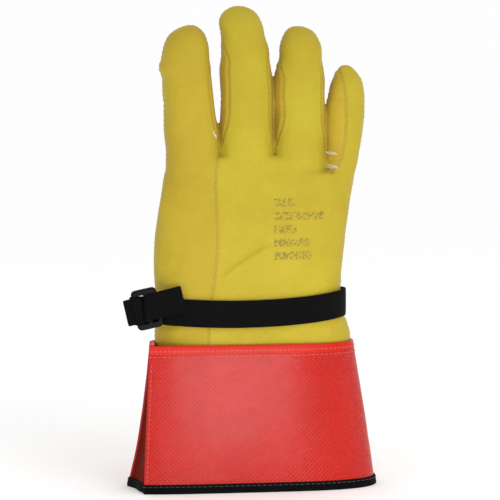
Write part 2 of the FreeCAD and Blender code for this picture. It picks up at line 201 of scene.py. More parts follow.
def gloveLeather(name, paleColour, deepColour, stamped):
    material, nodes, links = startMaterial(name)
    place = nodes.new("ShaderNodeTexCoord")
    place.label = "place on the glove"

    patches = nodes.new("ShaderNodeTexNoise")
    patches.label = "uneven tanning"
    patches.inputs["Scale"].default_value = 24
    patches.inputs["Detail"].default_value = 5
    patches.inputs["Roughness"].default_value = 0.6
    links.new(place.outputs["Object"], patches.inputs["Vector"])
    tone = nodes.new("ShaderNodeValToRGB")
    tone.label = "tanned tones"
    tone.color_ramp.elements[0].position = 0.32
    tone.color_ramp.elements[0].color = deepColour
    tone.color_ramp.elements[1].position = 0.66
    tone.color_ramp.elements[1].color = paleColour
    links.new(patches.outputs["Fac"], tone.inputs["Fac"])

    grain = nodes.new("ShaderNodeTexVoronoi")
    grain.label = "grain cells"
    grain.feature = "DISTANCE_TO_EDGE"
    grain.inputs["Scale"].default_value = 1150
    links.new(place.outputs["Object"], grain.inputs["Vector"])
    grainLimit = nodes.new("ShaderNodeMapRange")
    grainLimit.label = "grain valleys"
    grainLimit.inputs["From Max"].default_value = 0.22
    links.new(grain.outputs["Distance"], grainLimit.inputs["Value"])
    pores = nodes.new("ShaderNodeTexNoise")
    pores.label = "pores"
    pores.inputs["Scale"].default_value = 2600
    pores.inputs["Detail"].default_value = 2
    links.new(place.outputs["Object"], pores.inputs["Vector"])
    grainDark = nodes.new("ShaderNodeMix")
    grainDark.label = "darker in the grain"
    grainDark.data_type = "RGBA"
    grainDark.blend_type = "MULTIPLY"
    grainDark.inputs["B"].default_value = (0.80, 0.74, 0.62, 1)
    grainAmount = nodes.new("ShaderNodeMath")
    grainAmount.label = "grain tint amount"
    grainAmount.operation = "MULTIPLY_ADD"
    grainAmount.inputs[1].default_value = -0.35
    grainAmount.inputs[2].default_value = 0.35
    links.new(grainLimit.outputs["Result"], grainAmount.inputs[0])
    links.new(grainAmount.outputs["Value"], grainDark.inputs["Factor"])
    links.new(tone.outputs["Color"], grainDark.inputs["A"])

    # painted shade with dirt: a broken band along the seams is darkened, standing in for the shade in the
    # seam valleys as well as dirt; the same noise also varies the gloss
    seamNear = nodes.new("ShaderNodeAttribute")
    seamNear.label = "near a seam"
    seamNear.attribute_name = "seamNear"
    scuffAndSeamShadeNoise = nodes.new("ShaderNodeTexNoise")
    scuffAndSeamShadeNoise.label = "broken scuffs and seam shade"
    scuffAndSeamShadeNoise.inputs["Scale"].default_value = 260
    scuffAndSeamShadeNoise.inputs["Detail"].default_value = 4
    links.new(place.outputs["Object"], scuffAndSeamShadeNoise.inputs["Vector"])
    seamShadeAndDirtMask = nodes.new("ShaderNodeMath")
    seamShadeAndDirtMask.label = "painted shade and dirt by the seams"
    seamShadeAndDirtMask.operation = "MULTIPLY"
    seamShadeAndDirtMask.use_clamp = True
    links.new(seamNear.outputs["Fac"], seamShadeAndDirtMask.inputs[0])
    links.new(scuffAndSeamShadeNoise.outputs["Fac"], seamShadeAndDirtMask.inputs[1])
    seamTint = nodes.new("ShaderNodeMix")
    seamTint.label = "seam shadow colour"
    seamTint.data_type = "RGBA"
    seamTint.inputs["B"].default_value = (0.315, 0.215, 0.013, 1)
    links.new(seamShadeAndDirtMask.outputs["Value"], seamTint.inputs["Factor"])
    links.new(grainDark.outputs["Result"], seamTint.inputs["A"])
    colour = seamTint
    inkNodes = []
    if stamped:
        ink = dict(top=0.1842, pitch=0.00830, bar=0.62, left=0.0128,
                   lengths=(0.0140, 0.0325, 0.0145, 0.0225, 0.0240), strength=0.62)
        split = nodes.new("ShaderNodeSeparateXYZ")
        split.label = "across and up"
        links.new(place.outputs["Object"], split.inputs["Vector"])
        rowPlace = nodes.new("ShaderNodeMath")
        rowPlace.label = "row from the top"
        rowPlace.operation = "MULTIPLY_ADD"
        rowPlace.inputs[1].default_value = -1 / ink["pitch"]
        rowPlace.inputs[2].default_value = ink["top"] / ink["pitch"]
        links.new(split.outputs["Z"], rowPlace.inputs[0])
        inRow = nodes.new("ShaderNodeMath")
        inRow.label = "place in the row"
        inRow.operation = "FRACT"
        links.new(rowPlace.outputs["Value"], inRow.inputs[0])
        barMask = nodes.new("ShaderNodeMath")
        barMask.label = "bar height"
        barMask.operation = "LESS_THAN"
        barMask.inputs[1].default_value = ink["bar"]
        links.new(inRow.outputs["Value"], barMask.inputs[0])
        rowShare = nodes.new("ShaderNodeMath")
        rowShare.label = "row as a share"
        rowShare.operation = "DIVIDE"
        rowShare.inputs[1].default_value = len(ink["lengths"])
        links.new(rowPlace.outputs["Value"], rowShare.inputs[0])
        rowLength = nodes.new("ShaderNodeValToRGB")
        rowLength.label = "length of each bar"
        rowLength.color_ramp.interpolation = "CONSTANT"
        for number, length in enumerate(ink["lengths"]):
            ends = rowLength.color_ramp.elements
            stop = ends[number] if number < 2 else ends.new(number / len(ink["lengths"]))
            stop.position = number / len(ink["lengths"])
            share = length / 0.04
            stop.color = (share, share, share, 1)
        links.new(rowShare.outputs["Value"], rowLength.inputs["Fac"])
        fromLeft = nodes.new("ShaderNodeMath")
        fromLeft.label = "run from the left"
        fromLeft.operation = "MULTIPLY_ADD"
        fromLeft.inputs[1].default_value = 1 / 0.04
        fromLeft.inputs[2].default_value = -ink["left"] / 0.04
        links.new(split.outputs["X"], fromLeft.inputs[0])
        started = nodes.new("ShaderNodeMath")
        started.label = "past the left end"
        started.operation = "GREATER_THAN"
        started.inputs[1].default_value = 0
        links.new(fromLeft.outputs["Value"], started.inputs[0])
        ended = nodes.new("ShaderNodeMath")
        ended.label = "before the right end"
        ended.operation = "LESS_THAN"
        links.new(fromLeft.outputs["Value"], ended.inputs[0])
        links.new(rowLength.outputs["Color"], ended.inputs[1])
        inRows = nodes.new("ShaderNodeMath")
        inRows.label = "only five rows"
        inRows.operation = "COMPARE"
        inRows.inputs[1].default_value = len(ink["lengths"]) / 2
        inRows.inputs[2].default_value = len(ink["lengths"]) / 2
        links.new(rowPlace.outputs["Value"], inRows.inputs[0])
        worn = nodes.new("ShaderNodeTexNoise")
        worn.label = "worn ink blotches"
        worn.inputs["Scale"].default_value = 620
        worn.inputs["Detail"].default_value = 3
        links.new(place.outputs["Object"], worn.inputs["Vector"])
        wornMask = nodes.new("ShaderNodeMapRange")
        wornMask.label = "ink left on the grain"
        wornMask.inputs["From Min"].default_value = 0.44
        wornMask.inputs["From Max"].default_value = 0.60
        wornMask.inputs["To Max"].default_value = ink["strength"]
        links.new(worn.outputs["Fac"], wornMask.inputs["Value"])
        backOnly = nodes.new("ShaderNodeMath")
        backOnly.label = "back of the hand only"
        backOnly.operation = "LESS_THAN"
        backOnly.inputs[1].default_value = handMiddle * mm
        links.new(split.outputs["Y"], backOnly.inputs[0])
        masks = [barMask, started, ended, inRows, backOnly]
        mask = wornMask.outputs["Result"]
        for part in masks:
            both = nodes.new("ShaderNodeMath")
            both.label = "ink mask"
            both.operation = "MULTIPLY"
            links.new(mask, both.inputs[0])
            links.new(part.outputs["Value"], both.inputs[1])
            mask = both.outputs["Value"]
            inkNodes.append(both)
        inked = nodes.new("ShaderNodeMix")
        inked.label = "faded ink"
        inked.data_type = "RGBA"
        inked.inputs["B"].default_value = (0.115, 0.095, 0.030, 1)
        links.new(mask, inked.inputs["Factor"])
        links.new(seamTint.outputs["Result"], inked.inputs["A"])
        colour = inked
        inkNodes = [split, rowPlace, inRow, rowShare, rowLength, fromLeft, worn,
                    wornMask] + masks + inkNodes + [inked]

    folds = nodes.new("ShaderNodeTexNoise")
    folds.label = "soft hide ripples"
    folds.inputs["Scale"].default_value = 150
    folds.inputs["Detail"].default_value = 3
    links.new(place.outputs["Object"], folds.inputs["Vector"])
    foldBump = nodes.new("ShaderNodeBump")
    foldBump.label = "ripple relief"
    foldBump.inputs["Strength"].default_value = 0.30
    foldBump.inputs["Distance"].default_value = 0.0012
    links.new(folds.outputs["Fac"], foldBump.inputs["Height"])
    grainBump = nodes.new("ShaderNodeBump")
    grainBump.label = "grain relief"
    grainBump.inputs["Strength"].default_value = 0.35
    grainBump.inputs["Distance"].default_value = 0.00016
    links.new(grainLimit.outputs["Result"], grainBump.inputs["Height"])
    links.new(foldBump.outputs["Normal"], grainBump.inputs["Normal"])
    poreBump = nodes.new("ShaderNodeBump")
    poreBump.label = "pore relief"
    poreBump.inputs["Strength"].default_value = 0.2
    poreBump.inputs["Distance"].default_value = 0.00007
    links.new(pores.outputs["Fac"], poreBump.inputs["Height"])
    links.new(grainBump.outputs["Normal"], poreBump.inputs["Normal"])
    gloss = nodes.new("ShaderNodeMapRange")
    gloss.label = "rubbed smooth in places"
    gloss.inputs["To Min"].default_value = 0.46
    gloss.inputs["To Max"].default_value = 0.66
    links.new(scuffAndSeamShadeNoise.outputs["Fac"], gloss.inputs["Value"])

    skin = nodes.new("ShaderNodeBsdfPrincipled")
    skin.label = "leather"
    skin.inputs["Specular IOR Level"].default_value = 0.22
    skin.inputs["Sheen Weight"].default_value = 0.06
    skin.inputs["Sheen Roughness"].default_value = 0.5
    output = nodes.new("ShaderNodeOutputMaterial")
    links.new(colour.outputs["Result"], skin.inputs["Base Color"])
    links.new(gloss.outputs["Result"], skin.inputs["Roughness"])
    links.new(poreBump.outputs["Normal"], skin.inputs["Normal"])
    links.new(skin.outputs["BSDF"], output.inputs["Surface"])
    layOut(nodes, [("where", [place]), ("tanning", [patches, tone, grainDark]),
                   ("grain", [grain, grainLimit, grainAmount, pores, grainBump]),
                   ("seams", [seamNear, scuffAndSeamShadeNoise, seamShadeAndDirtMask, seamTint]), ("ink", inkNodes),
                   ("relief", [folds, foldBump, poreBump, gloss]), ("finish", [skin, output])])
    return material


def coatedCloth(name, baseColour, deepColour, relief, pitch, shine):
    material, nodes, links = startMaterial(name)
    place = nodes.new("ShaderNodeTexCoord")
    place.label = "place on the cuff"
    laid = nodes.new("ShaderNodeUVMap")
    laid.label = "along and up the cloth"
    laid.uv_map = "tape"
    split = nodes.new("ShaderNodeSeparateXYZ")
    split.label = "along, up"
    links.new(laid.outputs["UV"], split.inputs["Vector"])
    ridges = []
    lattice = []
    for kind, label in (("ADD", "rising threads"), ("SUBTRACT", "falling threads")):
        slant = nodes.new("ShaderNodeMath")
        slant.label = label
        slant.operation = kind
        links.new(split.outputs["X"], slant.inputs[0])
        links.new(split.outputs["Y"], slant.inputs[1])
        phase = nodes.new("ShaderNodeMath")
        phase.label = "thread spacing"
        phase.operation = "MULTIPLY"
        phase.inputs[1].default_value = 2 * math.pi / pitch
        links.new(slant.outputs["Value"], phase.inputs[0])
        wave = nodes.new("ShaderNodeMath")
        wave.label = "round thread"
        wave.operation = "COSINE"
        links.new(phase.outputs["Value"], wave.inputs[0])
        height = nodes.new("ShaderNodeMapRange")
        height.label = "thread height"
        height.interpolation_type = "SMOOTHSTEP"
        height.inputs["From Min"].default_value = -0.45
        height.inputs["From Max"].default_value = 1.0
        links.new(wave.outputs["Value"], height.inputs["Value"])
        ridges.append(height)
        lattice += [slant, phase, wave, height]
    crossed = nodes.new("ShaderNodeMath")
    crossed.label = "crossed threads"
    crossed.operation = "MAXIMUM"
    links.new(ridges[0].outputs["Result"], crossed.inputs[0])
    links.new(ridges[1].outputs["Result"], crossed.inputs[1])
    dye = nodes.new("ShaderNodeTexNoise")
    dye.label = "coating thickness"
    dye.inputs["Scale"].default_value = 30
    dye.inputs["Detail"].default_value = 4
    links.new(place.outputs["Object"], dye.inputs["Vector"])
    tone = nodes.new("ShaderNodeValToRGB")
    tone.label = "coating tones"
    tone.color_ramp.elements[0].position = 0.3
    tone.color_ramp.elements[0].color = deepColour
    tone.color_ramp.elements[1].position = 0.7
    tone.color_ramp.elements[1].color = baseColour
    links.new(dye.outputs["Fac"], tone.inputs["Fac"])
    lowThread = nodes.new("ShaderNodeMath")
    lowThread.label = "between the threads"
    lowThread.operation = "MULTIPLY_ADD"
    lowThread.inputs[1].default_value = -0.40
    lowThread.inputs[2].default_value = 0.40
    links.new(crossed.outputs["Value"], lowThread.inputs[0])
    threadShade = nodes.new("ShaderNodeMix")
    threadShade.label = "deeper between the threads"
    threadShade.data_type = "RGBA"
    threadShade.blend_type = "MULTIPLY"
    threadShade.inputs["B"].default_value = (0.84, 0.60, 0.60, 1)
    links.new(lowThread.outputs["Value"], threadShade.inputs["Factor"])
    links.new(tone.outputs["Color"], threadShade.inputs["A"])
    smear = nodes.new("ShaderNodeTexNoise")
    smear.label = "handling marks"
    smear.inputs["Scale"].default_value = 85
    smear.inputs["Detail"].default_value = 6
    smear.inputs["Distortion"].default_value = 0.6
    links.new(place.outputs["Object"], smear.inputs["Vector"])
    gloss = nodes.new("ShaderNodeMapRange")
    gloss.label = "dull and shiny areas"
    gloss.inputs["From Min"].default_value = 0.3
    gloss.inputs["From Max"].default_value = 0.7
    gloss.inputs["To Min"].default_value = shine[1]
    gloss.inputs["To Max"].default_value = shine[1] + 0.08
    links.new(smear.outputs["Fac"], gloss.inputs["Value"])
    fine = nodes.new("ShaderNodeTexNoise")
    fine.label = "fine coating texture"
    fine.inputs["Scale"].default_value = 1900
    fine.inputs["Detail"].default_value = 2
    links.new(place.outputs["Object"], fine.inputs["Vector"])
    fineBump = nodes.new("ShaderNodeBump")
    fineBump.label = "coating relief"
    fineBump.inputs["Strength"].default_value = 0.18
    fineBump.inputs["Distance"].default_value = 0.00006
    links.new(fine.outputs["Fac"], fineBump.inputs["Height"])
    weaveBump = nodes.new("ShaderNodeBump")
    weaveBump.label = "thread relief"
    weaveBump.inputs["Strength"].default_value = relief
    weaveBump.inputs["Distance"].default_value = 0.0004
    links.new(crossed.outputs["Value"], weaveBump.inputs["Height"])
    links.new(fineBump.outputs["Normal"], weaveBump.inputs["Normal"])
    cloth = nodes.new("ShaderNodeBsdfPrincipled")
    cloth.label = "coated cloth"
    cloth.inputs["Specular IOR Level"].default_value = shine[0]
    output = nodes.new("ShaderNodeOutputMaterial")
    links.new(threadShade.outputs["Result"], cloth.inputs["Base Color"])
    links.new(gloss.outputs["Result"], cloth.inputs["Roughness"])
    links.new(weaveBump.outputs["Normal"], cloth.inputs["Normal"])
    links.new(cloth.outputs["BSDF"], output.inputs["Surface"])
    layOut(nodes, [("where", [place, laid, split]), ("lattice", lattice + [crossed]),
                   ("colour", [dye, tone, lowThread, threadShade]),
                   ("gloss", [smear, gloss]), ("relief", [fine, fineBump, weaveBump]),
                   ("finish", [cloth, output])])
    return material


def blackWeave(name, pitch, lean, colour, roughness):
    # woven tape or webbing: ribs across a UV map laid out in millimetres
    material, nodes, links = startMaterial(name)
    place = nodes.new("ShaderNodeUVMap")
    place.label = "along and across the tape"
    place.uv_map = "tape"
    spots = nodes.new("ShaderNodeTexCoord")
    spots.label = "place on the glove"
    turn = nodes.new("ShaderNodeMapping")
    turn.label = "twill angle"
    turn.inputs["Rotation"].default_value[2] = lean
    links.new(place.outputs["UV"], turn.inputs["Vector"])
    ribs = nodes.new("ShaderNodeTexWave")
    ribs.label = "rib yarns"
    ribs.bands_direction = "X"
    ribs.inputs["Scale"].default_value = 0.31 / pitch
    ribs.inputs["Distortion"].default_value = 0.6
    ribs.inputs["Detail"].default_value = 1
    links.new(turn.outputs["Vector"], ribs.inputs["Vector"])
    cross = nodes.new("ShaderNodeTexWave")
    cross.label = "cross yarns"
    cross.bands_direction = "Y"
    cross.inputs["Scale"].default_value = 0.5 / pitch
    links.new(turn.outputs["Vector"], cross.inputs["Vector"])
    cloth = nodes.new("ShaderNodeMath")
    cloth.label = "woven height"
    cloth.operation = "MULTIPLY"
    links.new(ribs.outputs["Fac"], cloth.inputs[0])
    links.new(cross.outputs["Fac"], cloth.inputs[1])
    fuzz = nodes.new("ShaderNodeTexNoise")
    fuzz.label = "stray fibres"
    fuzz.inputs["Scale"].default_value = 900
    fuzz.inputs["Detail"].default_value = 3
    links.new(spots.outputs["Object"], fuzz.inputs["Vector"])
    tone = nodes.new("ShaderNodeValToRGB")
    tone.label = "yarn tones"
    tone.color_ramp.elements[0].color = tuple(c * 0.45 for c in colour[:3]) + (1,)
    tone.color_ramp.elements[1].color = colour
    links.new(cloth.outputs["Value"], tone.inputs["Fac"])
    dusty = nodes.new("ShaderNodeMix")
    dusty.label = "faded fibres"
    dusty.data_type = "RGBA"
    dusty.inputs["B"].default_value = tuple(min(1, c * 2.6) for c in colour[:3]) + (1,)
    dust = nodes.new("ShaderNodeMapRange")
    dust.label = "where it has faded"
    dust.inputs["From Min"].default_value = 0.52
    dust.inputs["From Max"].default_value = 0.85
    dust.inputs["To Max"].default_value = 0.6
    links.new(fuzz.outputs["Fac"], dust.inputs["Value"])
    links.new(dust.outputs["Result"], dusty.inputs["Factor"])
    links.new(tone.outputs["Color"], dusty.inputs["A"])
    bump = nodes.new("ShaderNodeBump")
    bump.label = "yarn relief"
    bump.inputs["Strength"].default_value = 0.8
    bump.inputs["Distance"].default_value = 0.0003
    links.new(cloth.outputs["Value"], bump.inputs["Height"])
    yarn = nodes.new("ShaderNodeBsdfPrincipled")
    yarn.label = "woven yarn"
    yarn.inputs["Roughness"].default_value = roughness
    yarn.inputs["Sheen Weight"].default_value = 0.015
    yarn.inputs["Sheen Roughness"].default_value = 0.4
    yarn.inputs["Specular IOR Level"].default_value = 0.07
    output = nodes.new("ShaderNodeOutputMaterial")
    links.new(dusty.outputs["Result"], yarn.inputs["Base Color"])
    links.new(bump.outputs["Normal"], yarn.inputs["Normal"])
    links.new(yarn.outputs["BSDF"], output.inputs["Surface"])
    layOut(nodes, [("where", [place, spots, turn]), ("weave", [ribs, cross, cloth, bump]),
                   ("colour", [tone, fuzz, dust, dusty]), ("finish", [yarn, output])])
    return material


def buckleNylon():
    material, nodes, links = startMaterial("buckleNylon")
    place = nodes.new("ShaderNodeTexCoord")
    place.label = "place on the buckle"
    orange = nodes.new("ShaderNodeTexNoise")
    orange.label = "moulded texture"
    orange.inputs["Scale"].default_value = 1500
    orange.inputs["Detail"].default_value = 2
    links.new(place.outputs["Object"], orange.inputs["Vector"])
    rub = nodes.new("ShaderNodeTexNoise")
    rub.label = "rubbed areas"
    rub.inputs["Scale"].default_value = 240
    rub.inputs["Detail"].default_value = 5
    links.new(place.outputs["Object"], rub.inputs["Vector"])
    tone = nodes.new("ShaderNodeValToRGB")
    tone.label = "rubbed tones"
    tone.color_ramp.elements[0].color = (0.0022, 0.0022, 0.0022, 1)
    tone.color_ramp.elements[1].color = (0.0055, 0.0055, 0.006, 1)
    links.new(rub.outputs["Fac"], tone.inputs["Fac"])
    gloss = nodes.new("ShaderNodeMapRange")
    gloss.label = "dull and rubbed"
    gloss.inputs["To Min"].default_value = 0.32
    gloss.inputs["To Max"].default_value = 0.5
    links.new(rub.outputs["Fac"], gloss.inputs["Value"])
    bump = nodes.new("ShaderNodeBump")
    bump.label = "moulded relief"
    bump.inputs["Strength"].default_value = 0.25
    bump.inputs["Distance"].default_value = 0.00008
    links.new(orange.outputs["Fac"], bump.inputs["Height"])
    nylon = nodes.new("ShaderNodeBsdfPrincipled")
    nylon.label = "moulded nylon"
    nylon.inputs["Specular IOR Level"].default_value = 0.06
    output = nodes.new("ShaderNodeOutputMaterial")
    links.new(tone.outputs["Color"], nylon.inputs["Base Color"])
    links.new(gloss.outputs["Result"], nylon.inputs["Roughness"])
    links.new(bump.outputs["Normal"], nylon.inputs["Normal"])
    links.new(nylon.outputs["BSDF"], output.inputs["Surface"])
    layOut(nodes, [("where", [place]), ("texture", [orange, bump]), ("rubbing", [rub, tone, gloss]),
                   ("finish", [nylon, output])])
    return material


def sewingThread(name, colour, deep):
    material, nodes, links = startMaterial(name)
    place = nodes.new("ShaderNodeTexCoord")
    place.label = "place on the glove"
    plies = nodes.new("ShaderNodeTexWave")
    plies.label = "twisted plies"
    plies.bands_direction = "DIAGONAL"
    plies.inputs["Scale"].default_value = 900
    links.new(place.outputs["Object"], plies.inputs["Vector"])
    tone = nodes.new("ShaderNodeValToRGB")
    tone.label = "ply tones"
    tone.color_ramp.elements[0].color = deep
    tone.color_ramp.elements[1].color = colour
    links.new(plies.outputs["Fac"], tone.inputs["Fac"])
    bump = nodes.new("ShaderNodeBump")
    bump.label = "ply relief"
    bump.inputs["Strength"].default_value = 0.4
    bump.inputs["Distance"].default_value = 0.0001
    links.new(plies.outputs["Fac"], bump.inputs["Height"])
    thread = nodes.new("ShaderNodeBsdfPrincipled")
    thread.label = "thread"
    thread.inputs["Roughness"].default_value = 0.6
    thread.inputs["Sheen Weight"].default_value = 0.2
    output = nodes.new("ShaderNodeOutputMaterial")
    links.new(tone.outputs["Color"], thread.inputs["Base Color"])
    links.new(bump.outputs["Normal"], thread.inputs["Normal"])
    links.new(thread.outputs["BSDF"], output.inputs["Surface"])
    layOut(nodes, [("where", [place]), ("plies", [plies, tone, bump]), ("finish", [thread, output])])
    return material


def studioFloor():
    material, nodes, links = startMaterial("studioFloor")
    board = nodes.new("ShaderNodeBsdfDiffuse")
    board.label = "matt white board"
    board.inputs["Color"].default_value = (0.99, 0.99, 0.99, 1)
    output = nodes.new("ShaderNodeOutputMaterial")
    links.new(board.outputs["BSDF"], output.inputs["Surface"])
    layOut(nodes, [("floor", [board, output])])
    return material


leatherStamped = gloveLeather("yellowLeather", (0.455, 0.365, 0.019, 1), (0.410, 0.305, 0.014, 1), True)
leatherPlain = gloveLeather("yellowLeatherPlain", (0.455, 0.365, 0.019, 1), (0.410, 0.305, 0.014, 1), False)
# painted shade: a darker, more orange copy of the leather for the thumb-side panels, for the side of the hand
# turned from the light
leatherSideShaded = gloveLeather("yellowLeatherSideShaded", (0.445, 0.335, 0.019, 1), (0.400, 0.280, 0.014, 1), False)
# painted shade: a darker, more orange-brown copy of the leather for the fourchettes, standing in for the
# shadow between the fingers
leatherStripShaded = gloveLeather("fourchetteLeatherShaded", (0.485, 0.345, 0.024, 1), (0.400, 0.262, 0.018, 1), False)
redCloth = coatedCloth("redCoatedCloth", (0.515, 0.008, 0.002, 1), (0.46, 0.006, 0.001, 1), 1.0, 2.72,
                       (0.36, 0.22))
# painted shade: the side gusset is the same red coated cloth, given a dark colour and little shine to stand
# in for the shadow it sits in beside the front sheet
gussetShadedCloth = coatedCloth("gussetShadedCloth", (0.15, 0.009, 0.001, 1), (0.095, 0.006, 0.001, 1), 0.6, 2.72,
                          (0.03, 0.6))
rimCloth = coatedCloth("rimCloth", (0.545, 0.014, 0.003, 1), (0.49, 0.010, 0.002, 1), 0.25, 2.72,
                       (0.22, 0.34))
hemTape = blackWeave("hemTape", 0.9, 0.0, (0.003, 0.003, 0.0033, 1), 0.85)
strapWeave = blackWeave("strapWebbing", 1.1, 0.6, (0.0036, 0.0036, 0.0038, 1), 0.8)
nylonBlack = buckleNylon()
threadYellow = sewingThread("yellowThread", (0.60, 0.42, 0.07, 1), (0.42, 0.27, 0.04, 1))
threadRed = sewingThread("redThread", (0.74, 0.10, 0.07, 1), (0.52, 0.04, 0.03, 1))
threadWhite = sewingThread("whiteThread", (0.80, 0.72, 0.58, 1), (0.60, 0.48, 0.34, 1))
threadBlack = sewingThread("blackThread", (0.03, 0.03, 0.03, 1), (0.012, 0.012, 0.012, 1))
print("materials ready")


# camera, floor and light

viewSizes = dict(azimuth=-8.0, distance=1.62, height=0.300, lens=184.0, aimAcross=0.0018, aimHeight=0.1495,
                 skyStrength=0.98, keyEnergy=6.0, cuffEnergy=0.46)
viewAngle = math.radians(viewSizes["azimuth"])
lensBody = bpy.data.cameras.new("camera")
lensBody.lens = viewSizes["lens"]
lensBody.sensor_width = 36
camera = bpy.data.objects.new("camera", lensBody)
bpy.context.scene.collection.objects.link(camera)
aim = Vector((viewSizes["aimAcross"] * math.cos(viewAngle), viewSizes["aimAcross"] * math.sin(viewAngle),
              viewSizes["aimHeight"]))
camera.location = (math.sin(viewAngle) * viewSizes["distance"], -math.cos(viewAngle) * viewSizes["distance"],
                   viewSizes["height"])
camera.rotation_euler = (aim - camera.location).to_track_quat("-Z", "Y").to_euler()
bpy.context.scene.camera = camera
bpy.context.scene.view_settings.view_transform = "Standard"

sweep = [(-5.0, 0.0), (1.8, 0.0)]
sweep += [(1.8 + 2.2 * math.sin(a), 2.2 - 2.2 * math.cos(a)) for a in np.linspace(0, math.pi / 2, 33)[1:]]
sweep.append((4.0, 6.0))
floor = makeObject("floor", [(x, y, z) for y, z in sweep for x in (-7, 7)],
                   [(2 * i, 2 * i + 1, 2 * i + 3, 2 * i + 2) for i in range(len(sweep) - 1)])
floor.data.materials.append(studioFloor())

room = bpy.data.worlds.new("paleRoom")
room.use_nodes = True
sky = next(n for n in room.node_tree.nodes if n.type == "BACKGROUND")
sky.inputs["Color"].default_value = (1, 1, 1, 1)
sky.inputs["Strength"].default_value = viewSizes["skyStrength"]
bpy.context.scene.world = room


def softLight(name, place, target, wide, tall, energy):
    lamp = bpy.data.lights.new(name, "AREA")
    lamp.shape = "RECTANGLE"
    lamp.size = wide
    lamp.size_y = tall
    lamp.energy = energy
    made = bpy.data.objects.new(name, lamp)
    bpy.context.scene.collection.objects.link(made)
    made.location = place
    made.rotation_euler = (Vector(target) - made.location).to_track_quat("-Z", "Y").to_euler()
    return made


softLight("keyLight", (0.75, -1.5, 1.25), (0, 0, 0.16), 0.8, 0.8, viewSizes["keyEnergy"])
softLight("cuffLight", (0.018, -0.36, 0.044), (0.018, 0, 0.046), 0.150, 0.084, viewSizes["cuffEnergy"])
print("camera and light set")


# stitches: one Geometry Nodes tree that sets stitches along a curve

